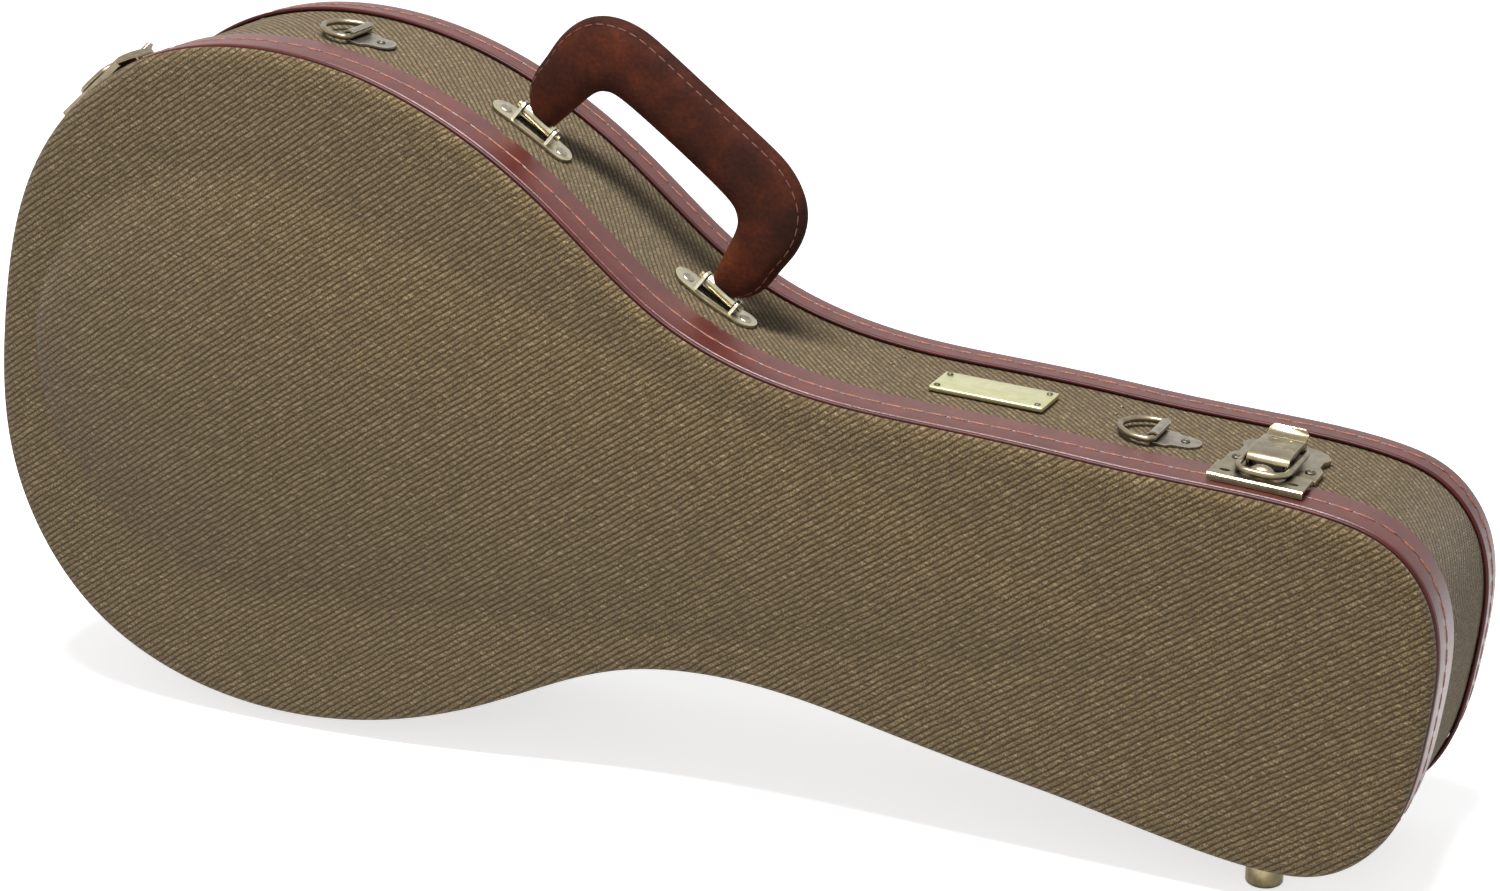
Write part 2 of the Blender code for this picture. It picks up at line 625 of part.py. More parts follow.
def handle_plate(name, sign, half, middle, finish, case):
    """Oval plate that follows the wall, with a window between two upright ears."""
    station = HANDLE_STATIONS[0] if sign < 0 else HANDLE_STATIONS[1]
    start = OUTLINE.length_at(station)
    straight = (PLATE_LENGTH - PLATE_WIDTH) / 2.0
    radius = PLATE_WIDTH / 2.0
    rim = [(-straight + x, y) for x, y in circle((0, 0), radius, 8, math.pi / 2, math.pi, False)]
    rim += [(x, -radius) for x in PLATE_STEPS]
    rim += [(straight + x, y) for x, y in circle((0, 0), radius, 8, -math.pi / 2, math.pi, False)]
    rim += [(x, radius) for x in PLATE_STEPS[::-1]]
    flat = Matrix.Identity(4)
    plate = slab(name, rim, 0.0, PLATE_THICKNESS, finish["brass"], case, flat)
    window = PLATE_WINDOW
    hole = slab("window", [(-window[0] / 2, -window[1] / 2), (window[0] / 2, -window[1] / 2),
                           (window[0] / 2, window[1] / 2), (-window[0] / 2, window[1] / 2)],
                -PAST, PAST, None, case, flat)
    combine(plate, cutters=[hole])
    lift = 0.0005 - SKIN
    for vertex in plate.data.vertices:
        point, _, normal = OUTLINE.at(start + vertex.co.x)
        spot = point + normal * (vertex.co.z + lift)
        vertex.co = (spot[0], HANDLE_DEPTH + vertex.co.y, spot[1])
    split_faces(plate)
    ears = []
    for side in (-1, 1):
        inside = sign * half + side * EAR_INSIDE
        outside = inside + side * EAR_THICKNESS
        spot = middle @ Vector(((inside + outside) / 2.0, 0.0, 0.0))
        wall, _, normal = OUTLINE.at(OUTLINE.length_at(spot.x))
        drop = (Vector((spot.x, spot.z)) - Vector(wall)).dot(Vector(normal)) + SKIN
        foot = EAR_SEAT - drop
        section = [(-EAR_BASE, foot), (EAR_BASE, foot), (EAR_TOP, EAR_WAIST)]
        section += circle((0.0, 0.0), EAR_TOP, 6, *EAR_ROUND, closed=False)
        section += [(-EAR_TOP, EAR_WAIST)]
        ears.append(bar("ear", section, inside, outside, None, case, middle))
    combine(plate, joined=ears)
    bore = bar("bore", circle((0, 0), HANDLE_PIN + GAP, 10), sign * half - PAST,
               sign * half + PAST, None, case, middle)
    combine(plate, cutters=[bore])
    bar(name.replace("plate", "pin"), circle((0, 0), HANDLE_PIN, 10), sign * half - HANDLE_PIN_HALF,
        sign * half + HANDLE_PIN_HALF, finish["brass"], case, middle, 40)


def handle_grip(half_spacing, middle, finish, axis):
    """Stitched leather grip: an oval section swept up a leg, round two bends and down again."""
    bend = (HANDLE_LEG - HANDLE_BEND, HANDLE_TOP - HANDLE_BEND)
    side = [(half_spacing + shift, height, width, thick) for height, shift, width, thick in GRIP_LEG]
    arc = circle(bend, HANDLE_BEND, len(GRIP_BEND) - 1, 0.0, math.pi / 2, closed=False)
    side += [(a, r, width, GRIP_THICKNESS) for (a, r), width in zip(arc, GRIP_BEND)]
    side.append((bend[0] / 3.0, HANDLE_TOP, GRIP_BEND[-1], GRIP_THICKNESS))
    path = side + [(-a, *rest) for a, *rest in side[::-1]]
    count = len(path)
    vertices = []
    for i, (a, r, width, thick) in enumerate(path):
        ahead = Vector(path[min(i + 1, count - 1)][:2]) - Vector(path[max(i - 1, 0)][:2])
        if i in (0, count - 1):
            ahead = Vector((0.0, 1.0 if i == 0 else -1.0))
        ahead.normalize()
        across = Vector((ahead.y, -ahead.x)) * (width / 2.0)
        for k in range(GRIP_SIDES):
            turn = 2.0 * math.pi * k / GRIP_SIDES
            flat = math.copysign(abs(math.cos(turn)) ** 0.8, math.cos(turn))
            vertices.append(middle @ Vector((a + across.x * flat, thick / 2.0 * math.sin(turn),
                                             r + across.y * flat)))
    last = (count - 1) * GRIP_SIDES
    faces = [tuple(range(GRIP_SIDES)), tuple(last + k for k in range(GRIP_SIDES))]
    for i in range(count - 1):
        row = i * GRIP_SIDES
        for k in range(GRIP_SIDES):
            n = (k + 1) % GRIP_SIDES
            faces.append((row + k, row + n, row + GRIP_SIDES + n, row + GRIP_SIDES + k))
    make("handle_grip", vertices, faces, finish["suede"], axis, 50)


def handle(case, axis, middle, half, finish):
    """Handle with metal end straps that turn on pins in two oval plates."""
    handle_grip(half, middle, finish, axis)
    for number, sign in ((1, -1), (2, 1)):
        handle_plate(f"handle_plate_{number}", sign, half, middle, finish, case)
        section = circle((0.0, 0.0), STRAP_BARREL, 10, math.radians(110), math.radians(320), False)
        top = GRIP_START - GAP
        section += [(STRAP_THICKNESS / 2, top), (-STRAP_THICKNESS / 2, top)]
        strap = bar(f"handle_strap_{number}", section, sign * half - STRAP_WIDTH / 2,
                    sign * half + STRAP_WIDTH / 2, finish["brass"], axis, middle)
        bore = bar("bore", circle((0, 0), HANDLE_PIN + GAP, 10), sign * half - PAST,
                   sign * half + PAST, None, case, middle)
        combine(strap, cutters=[bore])


def d_ring(number, case, axis, place, finish):
    """D ring whose straight bar turns in the fold of a riveted clip."""
    shoulder, corner, corner_half = RING_CORNER
    arc = [(shoulder - (RING_REACH + shoulder) * math.sin(math.radians(t)),
            RING_HALF * math.cos(math.radians(t))) for t in range(20, 161, 20)]
    path = [(0.0, -RING_BAR), (0.0, RING_BAR), (corner, corner_half), (shoulder, RING_HALF)] + arc
    path += [(shoulder, -RING_HALF), (corner, -corner_half)]
    tube(f"ring_{number}", [(x, y, RING_RISE) for x, y in path], RING_WIRE, 6, True,
         (0, 0, 1), finish["brass"], axis, place)
    base = 0.0005 - SKIN + CLIP_SHEET / 2
    reach = RING_WIRE + CLIP_CLEARANCE + CLIP_SHEET / 2
    fold = circle((0.0, RING_RISE), reach, 10, -0.5 * math.pi, -1.25 * math.pi, closed=False)
    ramp, top = CLIP_RAMP
    line = [(CLIP_TAIL, base), (ramp, base), (top, (base + fold[0][1]) / 2)] + fold
    section = bent_sheet(line, CLIP_SHEET)
    turned = Matrix(((0, 1, 0, 0), (1, 0, 0, 0), (0, 0, 1, 0), (0, 0, 0, 1)))
    clip = bar(f"ring_clip_{number}", section, -CLIP_HALF, CLIP_HALF, finish["steel"], case,
               place @ turned)
    round_end = circle((CLIP_TAIL - CLIP_END - GAP, 0.0), CLIP_END, 5, math.pi / 2, -math.pi / 2,
                       closed=False)
    end = CLIP_TAIL + PAST
    side = [*CLIP_TAPER] + round_end + [(end, 0.0), (end, CLIP_TAPER[0][1])]
    offcuts = [slab("offcut", [(x, sign * y) for x, y in side], -PAST, CLIP_SHEET, None, case,
                    place) for sign in (-1, 1)]
    combine(clip, cutters=offcuts)


def latch(number, case, lid, lever_axis, bail_axis, place, finish):
    """Draw latch: catch plate on the lid; body plate, lever, pin and wire bail on the body."""
    front, rear = CATCH_Y
    low = CATCH_LOW
    section = [(front, low), (front, CATCH_TOP - CATCH_CHAMFER),
               (front + CATCH_CHAMFER, CATCH_TOP),
               (rear, CATCH_TOP), (rear, low), (rear - SHEET, low),
               (rear - SHEET, CATCH_TOP - SHEET), (front + SHEET, CATCH_TOP - SHEET),
               (front + SHEET, low)]
    catch = bar(f"latch_catch_{number}", section, -LATCH_HALF, LATCH_HALF, finish["brass"], lid,
                place)
    hook_path = [(y, CATCH_TOP + rise) for y, rise in HOOK_PATH]
    hook = bar("hook", bent_sheet(hook_path, HOOK_SHEET), -HOOK_HALF, HOOK_HALF, None, lid, place)
    combine(catch, joined=[hook])

    right = [(LATCH_HALF - inset, y) for inset, y in BODY_PLATE_SIDE]
    plate_outline = right + [(-x, y) for x, y in right[::-1]]
    plate = slab(f"latch_plate_{number}", plate_outline, 0.0005 - SKIN, BODY_PLATE_TOP,
                 finish["brass"], case, place)
    axis_y, axis_z = LEVER_AXIS
    ear = [(axis_y + reach, BODY_PLATE_TOP / 2.0) for reach in LEVER_EAR_FOOT]
    ear += circle((axis_y, axis_z), LEVER_EAR, 9, 0.0, 1.5 * math.pi, closed=False)
    inside = LEVER_HALF - LEVER_SHEET - GAP
    ears = [bar("ear", ear, side * (inside - SHEET), side * inside, None, case, place)
            for side in (-1, 1)]
    combine(plate, joined=ears)
    bore = bar("bore", circle(LEVER_AXIS, LEVER_PIN + GAP, 8), -PAST, PAST, None, case, place)
    combine(plate, cutters=[bore])
    pin = LEVER_HALF + GAP / 3.0
    bar(f"latch_pin_{number}", circle(LEVER_AXIS, LEVER_PIN, 8), -pin, pin, finish["brass"], case,
        place, 50)

    nose = circle(LEVER_AXIS, LEVER_NOSE, 8, math.radians(100), math.radians(170), closed=False)
    lever = bar(f"latch_lever_{number}", nose + [*LEVER_TOP], -LEVER_HALF, LEVER_HALF,
                finish["brass"], lever_axis, place)
    mouth = axis_z + LEVER_MOUTH[0]
    opening = axis_y + LEVER_MOUTH[1]
    throat = (axis_y + LEVER_THROAT[0], axis_z + LEVER_THROAT[1])
    room = [(opening, LEVER_ROOM[0][1]), *LEVER_ROOM, throat,
            (axis_y - LEVER_NOSE + LEVER_SHEET, mouth), (opening, mouth)]
    pocket = bar("pocket", room, -LEVER_HALF + LEVER_SHEET, LEVER_HALF - LEVER_SHEET, None,
                 case, place)
    tab = bar("tab", bent_sheet(TAB_PATH, TAB_SHEET), -TAB_HALF, TAB_HALF, None, case, place)
    combine(lever, joined=[tab], cutters=[pocket])
    bores = [bar("bore", circle(centre, radius + GAP, 8), -PAST, PAST, None, case, place)
             for centre, radius in ((LEVER_AXIS, LEVER_PIN), (BAIL_AXIS, BAIL_WIRE))]
    combine(lever, cutters=bores)

    start_y, start_z = BAIL_AXIS
    slope = (BAIL_FRONT - start_z) / (start_y - BAIL_ARM[-1][1])
    path = [(x, y, start_z + (start_y - y) * slope) for x, y in BAIL_ARM]
    path += [(-x, y, z) for x, y, z in path[::-1]]
    tube(f"latch_bail_{number}", path, BAIL_WIRE, 6, False, (0.0, slope, 1.0), finish["brass"],
         bail_axis, place)


def nameplate(case, finish):
    """Bare plate with a small chamfer."""
    length, width, thickness = NAMEPLATE
    place = wall_frame(NAMEPLATE_X, NAMEPLATE_DEPTH)
    corner = NAMEPLATE_CORNER
    rim = [(-length / 2 + corner, -width / 2), (length / 2 - corner, -width / 2),
           (length / 2, -width / 2 + corner), (length / 2, width / 2 - corner),
           (length / 2 - corner, width / 2), (-length / 2 + corner, width / 2),
           (-length / 2, width / 2 - corner), (-length / 2, -width / 2 + corner)]
    low = NAMEPLATE_SEAT - SKIN
    slab("nameplate", rim, low, low + thickness, finish["plate"], case, place)


def hinge_line():
    """The line that touches the lower side of both the body bulge and the head end."""
    upper = OUTLINE.points
    bulge = upper[upper[:, 0] < 0.35]
    head = upper[upper[:, 0] > 0.60]
    touch = head[np.argmax(head[:, 1])]
    for _ in range(6):
        slope = np.arctan2(touch[1] - bulge[:, 1], touch[0] - bulge[:, 0])
        start = bulge[np.argmin(slope)]
        slope = np.arctan2(head[:, 1] - start[1], head[:, 0] - start[0])
        touch = head[np.argmax(slope)]
    along = (Vector(touch) - Vector(start)).normalized()
    outward = Vector((-along.y, along.x))
    spots = [Vector(start), Vector(touch) + along * HEAD_HINGE_SHIFT]
    spots = [spot + outward * HINGE_RISE for spot in spots]
    return [Vector((spot.x, -spot.y)) for spot in spots], Vector((outward.x, -outward.y))


def hinge(number, case, lid, place, finish):
    """Two leaves with rolled knuckles round one pin, along the local x."""
    reach = HINGE_BARREL - HINGE_SHEET / 2
    middle = (-KNUCKLE_HALF - GAP, KNUCKLE_HALF + GAP)
    ends = ((-HINGE_HALF - PAST, -KNUCKLE_HALF), (KNUCKLE_HALF, HINGE_HALF + PAST))
    leaf_end, beyond, tall = KNUCKLE_CUT
    for name, side, parent, base, gone in (
            (f"hinge_body_leaf_{number}", 1, case, 0.0005 - SKIN - HINGE_RISE, (middle,)),
            (f"hinge_lid_leaf_{number}", -1, lid, 0.0004 - HINGE_RISE, ends)):
        low = base + HINGE_SHEET / 2
        roll = [(side * y, z) for y, z in circle((0.0, 0.0), reach, 10, -0.5 * math.pi,
                                                 math.radians(-255), closed=False)]
        path = [(side * HINGE_LEAF, low), (side * (HINGE_BARREL + KNUCKLE_RAMP), low)] + roll
        leaf = bar(name, bent_sheet(path, HINGE_SHEET), -HINGE_HALF, HINGE_HALF,
                   finish["brass"], parent, place)
        cut = [(side * leaf_end, -tall), (-side * beyond, -tall), (-side * beyond, tall),
               (side * leaf_end, tall)]
        notches = [bar("notch", cut, start, end, None, parent, place) for start, end in gone]
        combine(leaf, cutters=notches)
    bar(f"hinge_pin_{number}", circle((0.0, 0.0), HINGE_PIN, 8), -HINGE_HALF - HINGE_PIN_END,
        HINGE_HALF + HINGE_PIN_END, finish["brass"], case, place, 50)


def floor_line():
    """Point and up direction of the floor in the case's frame, under the bulge's foot."""
    up = Vector((-math.sin(STAND_TILT), math.cos(STAND_TILT)))
    lower = [Vector((x, -z)) for x, z in OUTLINE.points]
    lowest = min(lower, key=lambda p: p.dot(up))
    return lowest, lowest - up * BULGE_FOOT_RISE, up


def foot(name, top, normal, floor, up, depth, finish, parent):
    """Round foot, upright on the floor, its top cut to the slope of the wall it stands under."""
    side = Vector((up.y, -up.x))
    centre = top + up * ((floor - top).dot(up))
    rows = ((0.0, FOOT_RADIUS - FOOT_CHAMFER), (FOOT_CHAMFER, FOOT_RADIUS), (None, FOOT_RADIUS))
    vertices = []
    for height, radius in rows:
        for k in range(FOOT_SIDES):
            turn = 2.0 * math.pi * k / FOOT_SIDES
            spot = centre + side * (radius * math.cos(turn))
            if height is None:
                rise = (top - spot).dot(normal) / up.dot(normal) - FOOT_GAP
            else:
                rise = height
            spot = spot + up * rise
            vertices.append((spot.x, depth + radius * math.sin(turn), spot.y))
    count = FOOT_SIDES
    faces = [tuple(range(count)), tuple(2 * count + k for k in range(count))]
    for j in (0, 1):
        for k in range(count):
            n = (k + 1) % count
            faces.append((j * count + k, j * count + n, (j + 1) * count + n, (j + 1) * count + k))
    make(name, vertices, faces, finish["brass"], parent, 40)


def feet(case, lid, finish):
    """Two feet under the bulge and two under the head end, the front one on the lid."""
    lowest, floor, up = floor_line()
    for number, depth in enumerate(BULGE_FOOT_DEPTHS, 1):
        inset = SKIN if depth < BACK_BAND_START else 0.0
        foot(f"bulge_foot_{number}", lowest + up * inset, up, floor, up, depth, finish, case)
    point, _, normal = OUTLINE.at(OUTLINE.length_at(HEAD_FOOT_X))
    top = Vector((point[0], -point[1]))
    slope = Vector((-normal[0], normal[1]))
    for number, (depth, parent) in enumerate(zip(HEAD_FOOT_DEPTHS, (lid, case)), 1):
        foot(f"head_foot_{number}", top, slope, floor, up, depth, finish, parent)


def stand_on_floor(case):
    """Moves the whole case so that the middle of its box stands on the origin."""
    bpy.context.view_layer.update()
    corners = []
    for item in bpy.data.objects:
        if item.type == "MESH":
            corners += [item.matrix_world @ vertex.co for vertex in item.data.vertices]
    low = Vector(min(c[k] for c in corners) for k in range(3))
    high = Vector(max(c[k] for c in corners) for k in range(3))
    case.location = Vector((-(low.x + high.x) / 2, -(low.y + high.y) / 2, -low.z))
    bpy.context.view_layer.update()


def build():
    clear_scene()
    finish = {
        "tweed": material("olive_tweed", (0.145, 0.113, 0.060), 0.90),
        "leather": material("brown_leather", (0.150, 0.045, 0.036), 0.38),
        "piping": material("dark_piping", (0.075, 0.018, 0.015), 0.40),
        "suede": material("brown_suede", (0.105, 0.026, 0.010), 0.75),
        "brass": material("antique_brass", (0.50, 0.43, 0.29), 0.32, 1.0),
        "steel": material("nickel_plate", (0.48, 0.44, 0.38), 0.35, 1.0),
        "plate": material("pale_brass", (0.70, 0.68, 0.48), 0.30, 1.0),
        "plush": material("dark_plush", (0.060, 0.022, 0.016), 0.95),
        "lining": material("tongue_lining", (0.045, 0.018, 0.014), 0.95),
        "ribbon": material("pull_ribbon", (0.060, 0.020, 0.015), 0.80),
    }
    case = bpy.data.objects.new("case_frame", None)
    bpy.context.collection.objects.link(case)
    case.rotation_euler = (0.0, STAND_TILT, 0.0)
    bpy.context.view_layer.update()
    spots, outward = hinge_line()
    frames = [local_frame(spot, outward, PARTING) for spot in spots]
    lid = empty("lid_axis", frames[0], case)
    shells(case, lid, finish)
    for number, frame in enumerate(frames, 1):
        hinge(number, case, lid, frame, finish)
    edge = Matrix(((0, 0, 1, BOX_X[1] - BOX_LID_INSET[0]), (0, 1, 0, BOX_TOP - GAP), (-1, 0, 0, 0),
                   (0, 0, 0, 1)))
    interior(case, empty("box_lid_axis", edge, case), finish)
    middle, half = handle_line()
    handle(case, empty("handle_axis", middle, case), middle, half, finish)
    for number, (x, depth) in enumerate(zip(RING_STATIONS, RING_DEPTHS), 1):
        place = wall_frame(x, depth)
        turned = Matrix(((0, -1, 0, 0), (1, 0, 0, 0), (0, 0, 1, RING_RISE), (0, 0, 0, 1)))
        d_ring(number, case, empty(f"ring_axis_{number}", place @ turned, case), place, finish)
    for number, x in enumerate(LATCH_STATIONS, 1):
        place = wall_frame(x)
        pivots = []
        for label, (y, z) in (("lever", LEVER_AXIS), ("bail", BAIL_AXIS)):
            pivot = Matrix.Translation((0.0, y, z))
            pivots.append(empty(f"{label}_axis_{number}", place @ pivot, case))
        latch(number, case, lid, *pivots, place, finish)
    nameplate(case, finish)
    feet(case, lid, finish)
    stand_on_floor(case)


build()
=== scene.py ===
"""Looks of an arched mandolin case: tweed shells, stitched leather bands, suede handle, brass hardware.

Lengths are in metres. The case has its own directions: u runs along it from the body end, v across it
towards the handle and w from the lid's face to the back. spot(u, v, w) gives that place in the world.
"""

import json
import math
import random

import bmesh
import bpy
import numpy as np
from mathutils import Matrix, Vector


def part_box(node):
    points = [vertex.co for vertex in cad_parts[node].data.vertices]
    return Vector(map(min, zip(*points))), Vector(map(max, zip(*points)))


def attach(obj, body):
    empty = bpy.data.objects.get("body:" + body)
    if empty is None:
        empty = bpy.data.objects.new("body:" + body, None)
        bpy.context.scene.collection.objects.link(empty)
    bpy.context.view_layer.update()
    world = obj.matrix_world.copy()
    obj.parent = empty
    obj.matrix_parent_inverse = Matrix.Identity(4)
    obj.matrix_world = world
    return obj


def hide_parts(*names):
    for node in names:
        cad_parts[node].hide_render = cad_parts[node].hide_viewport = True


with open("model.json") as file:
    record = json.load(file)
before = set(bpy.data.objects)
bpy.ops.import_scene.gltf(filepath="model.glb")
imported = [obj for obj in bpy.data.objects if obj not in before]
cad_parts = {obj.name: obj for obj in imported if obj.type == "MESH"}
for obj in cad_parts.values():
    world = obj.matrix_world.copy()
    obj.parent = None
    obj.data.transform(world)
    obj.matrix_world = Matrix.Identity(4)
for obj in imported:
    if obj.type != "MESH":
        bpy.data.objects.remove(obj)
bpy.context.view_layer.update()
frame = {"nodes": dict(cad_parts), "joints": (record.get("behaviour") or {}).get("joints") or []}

# The case's directions in the world
TILT = math.radians(8.4)
ALONG = Vector((math.cos(TILT), 0.0, -math.sin(TILT)))
ACROSS = Vector((math.sin(TILT), 0.0, math.cos(TILT)))
BACKWARDS = Vector((0.0, 1.0, 0.0))

# Camera, fitted to the photograph
CAMERA_PLACE = (0.6631, -1.4438, 0.6998)
CAMERA_WAY = (-0.3905, 0.8700, -0.3032)
CAMERA_ROLL = math.radians(-0.31)
CAMERA_LENS = 84.2
CAMERA_SHIFT = (0.0109, -0.0460)

# Depths and insets of the shells
SKIN = 0.0018            # the tweed lies this far inside the bands' faces
DEPTH = 0.1125
PARTING = 0.0277
PANEL = 0.0050
SHOULDER = 0.0085
SHOULDER_WIDTH = 0.0125
FACE_EDGE = (            # inset and depth of the lid face's rim, from its shoulder round to the band
    (0.0125, -0.0085), (0.0096, -0.0084), (0.0068, -0.0082), (0.0032, -0.0074), (0.0010, -0.0057),
    (0.0005, -0.0036), (0.0014, -0.0021), (0.0031, -0.0010), (0.0031, 0.0014), (0.0018, 0.0018),
)
BACK_EDGE = (            # inset and depth of the back panel's rim, from the band to its flat
    (0.0018, 0.1113), (0.0042, 0.1137), (0.0075, 0.1153), (0.0125, 0.1160),
)
BACK_BAND_START = 0.0918
INNER = 0.0098           # inset of the walls' inner faces
BODY_WALL = (PARTING + 0.0006, DEPTH - PANEL - 0.0008)
LID_WALL = (PANEL + 0.0008, PARTING - 0.0003)
FACE_SHEET = 0.0012
PADDING_SHEET = 0.0018
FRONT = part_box("lid_wall")[1].y - PARTING + 0.0003

# Arch of the lid
ARCH_HEIGHT = 0.0140
ARCH_HALF_WIDTH = 0.108
ARCH_START = 0.022
ARCH_WIDEST = 0.150
ARCH_TIP = 0.635

HALF_SPOKES = 180
SPOKES = 2 * HALF_SPOKES
ARCH_STRIPS = 72

# Seams
BAND_STITCH = (0.0083, 0.0011, 0.0009)   # length, width and height
STITCH_PITCH = 0.0105
STITCH_SWAY = 0.0002
STITCH_SLANT = 2.0       # degrees
LID_SEAM = 0.0134
BACK_SEAM = 0.1032
GROOVE = 0.0003          # depth of the groove that the stitches lie in
GROOVE_HALF = 0.0006

# Leather, as insets and depths
LID_BAND = (
    (0.0005, 0.0014), (0.0001, 0.0018), (0.0, 0.0024), (0.0, LID_SEAM - GROOVE_HALF),
    (GROOVE, LID_SEAM - GROOVE_HALF / 3.0), (GROOVE, LID_SEAM + GROOVE_HALF / 3.0),
    (0.0, LID_SEAM + GROOVE_HALF), (0.0, PARTING - 0.0010), (0.0004, PARTING - 0.0003),
    (0.0015, PARTING - 0.0003), (0.0015, 0.0016),
)
BACK_BAND = (
    (0.0004, BACK_BAND_START + 0.0023), (0.0, BACK_BAND_START + 0.0030), (0.0, BACK_SEAM - GROOVE_HALF),
    (GROOVE, BACK_SEAM - GROOVE_HALF / 3.0), (GROOVE, BACK_SEAM + GROOVE_HALF / 3.0),
    (0.0, BACK_SEAM + GROOVE_HALF), (0.0, DEPTH - 0.0026), (0.0002, DEPTH - 0.0016),
    (0.0008, DEPTH - 0.0009), (0.0016, DEPTH - 0.0006), (0.0015, BACK_BAND_START + 0.0026),
)
LID_PIPING = (0.0012, 0.0, 0.0013)       # inset, depth and radius
BACK_PIPING = (0.0004, BACK_BAND_START + 0.0012, 0.0011)
LIP = INNER + 0.0003
CLOSING_LIP = (
    (LIP, PARTING - 0.0072), (LIP + 0.0008, PARTING - 0.0080), (LIP + 0.0025, PARTING - 0.0080),
    (LIP + 0.0025, 0.0440), (LIP, 0.0440),
)

# Handle, in its own frame: along its axis and out from the pins
GRIP_LEG = (             # height over the pins, shift out from the pin, width, thickness
    (0.0036, 0.0000, 0.0150, 0.0090), (0.0098, 0.0012, 0.0216, 0.0112),
    (0.0175, 0.0024, 0.0270, 0.0128), (0.0270, 0.0019, 0.0274, 0.0138),
)
GRIP_BEND = (0.0282, 0.0312, 0.0348, 0.0370, 0.0358, 0.0344, 0.0336)   # widths round a bend
GRIP_THICKNESS = 0.0140
GRIP_CENTRE = (0.0372, 0.0320)   # middle of a bend
GRIP_RADIUS = 0.0245
GRIP_SIDES = 40
GRIP_EASING = (10, 90)   # rounds of easing along the outer and the inner side of the bends
GRIP_FULLNESS = 2.5      # the higher, the flatter the grip's faces
GRIP_CORNERS = 0.8       # spreads the points towards the grip's edges
GRIP_SEAM = 0.80         # share of the half width at which the stitches run
GRIP_SEAM_DEPTH = 0.0005
GRIP_SEAM_WIDTH = 0.05   # also a share of the half width
GRIP_STITCH = (0.0046, 0.0008, 0.0008)
GRIP_STITCH_PITCH = 0.0060
PLATE_STATIONS = (0.2545, 0.3587)
PLATE_RIVET = 0.0172     # from a plate's middle to its rivets
PLATE_RIVET_HEAD = (0.0031, 0.0006)      # radius and height
HANDLE_DEPTH = 0.0490

# Strap rings and their clips
RING_WIRE = 0.0016
RING_RISE = 0.0020
RING_PATH = (            # half of the ring: reach along the wall and half width
    (0.0, 0.0020), (0.0, 0.0075), (0.0, 0.0103), (-0.0012, 0.0126), (-0.0035, 0.0134),
    (-0.0085, 0.0128), (-0.0130, 0.0103), (-0.0163, 0.0067), (-0.0180, 0.0023),
)
CLIP_SHEET = 0.0011
CLIP_TAIL = 0.0198
CLIP_END = 0.0068
CLIP_HALF = 0.0098
CLIP_FLAT = (0.0105, 0.0092, 0.0078, 0.0064, 0.0058)     # stations between its tail and its fold
CLIP_NECK = (0.0062, 0.0082, 0.0130)     # where the clip narrows from its fold to its tail
CLIP_NECK_HALF = 0.0074
CLIP_SLACK = 0.0004
CLIP_LIFT = 0.0005 - SKIN
CLIP_RIVET = 0.0124
CLIP_RIVET_HEAD = (0.0021, 0.0007)

# Draw latches, in a frame with x along the wall, y to the back and z outwards
LEVER_AXIS = (0.0290, 0.0056)
LATCH_HALF = 0.0215
CATCH_SECTION = (
    (0.0062, 0.0004), (0.0062, 0.0030), (0.0068, 0.0036), (0.0243, 0.0036), (0.0243, 0.0004),
    (0.0229, 0.0004), (0.0229, 0.0022), (0.0076, 0.0022), (0.0076, 0.0004),
)
CATCH_HOLE = (0.0154, 0.0135)
CATCH_HOLE_SIZE = (0.0026, 0.0017, 0.0030)
HOOK_DOME = (0.0185, 0.0034)     # depth and height of the hook's middle
HOOK_SIZE = (0.0062, 0.0041, 0.0042)
PLATE_SCREW = (0.0168, 0.0385, 0.0012)
PLATE_SCREW_HEAD = (0.0025, 0.0009)
CREASE = (0.0386, 0.0102)
CREASE_SIZE = (0.03, 0.0004, 0.0010)
DIMPLE = (0.0036, 0.0490, 0.0098)
DIMPLE_SIZE = (0.0014, 0.0014, 0.0008)
TAB_CORNER = (0.0090, 0.0613, 0.0123)
TAB_CUT = (0.0030, 0.0030, 0.0100)
TAB_TURN = math.radians(55.0)    # slope of the tab's end
BAIL_WIRE = 0.0015
BAIL_ARM = (             # half width and depth, from the lever's side to the crossbar
    (0.0082, 0.0520), (0.0104, 0.0518), (0.0115, 0.0495), (0.0115, 0.0370), (0.0115, 0.0240),
    (0.0112, 0.0190), (0.0098, 0.0152), (0.0072, 0.0129), (0.0036, 0.0122),
)
BAIL_HEIGHTS = (0.0052, 0.0058)  # at the lever and at the crossbar

# Nameplate and the nail pairs beside it
NAMEPLATE_PLACE = (0.4990, 0.0570)
NAMEPLATE_RIVET = (0.0246, 0.0086)
NAMEPLATE_RIVET_HEAD = (0.0015, 0.0006)
NAIL_HEAD = (0.0010, 0.0006)
NAILS = ((0.4434, 0.0692), (0.4447, 0.0825), (0.5549, 0.0682), (0.5543, 0.0790))

# Padding
BED_VOXEL = 0.005
BED_PRESSURE = 4.0
BED_SWELL = 0.0025
SWELL_FRAMES = 18
CRADLE_VOXEL = 0.0022
WALL_HOLD = 0.0085       # the bed stays put this near the wall
WALL_FADE = 0.006

# Weave
YARN_LEAN = 1.4
ROW_SHIFT = 0.37
BEAD_DEPTH = 0.35
FUZZ_HEIGHT = 0.40
UNEVENNESS = 1.5
WANDER = 0.0020

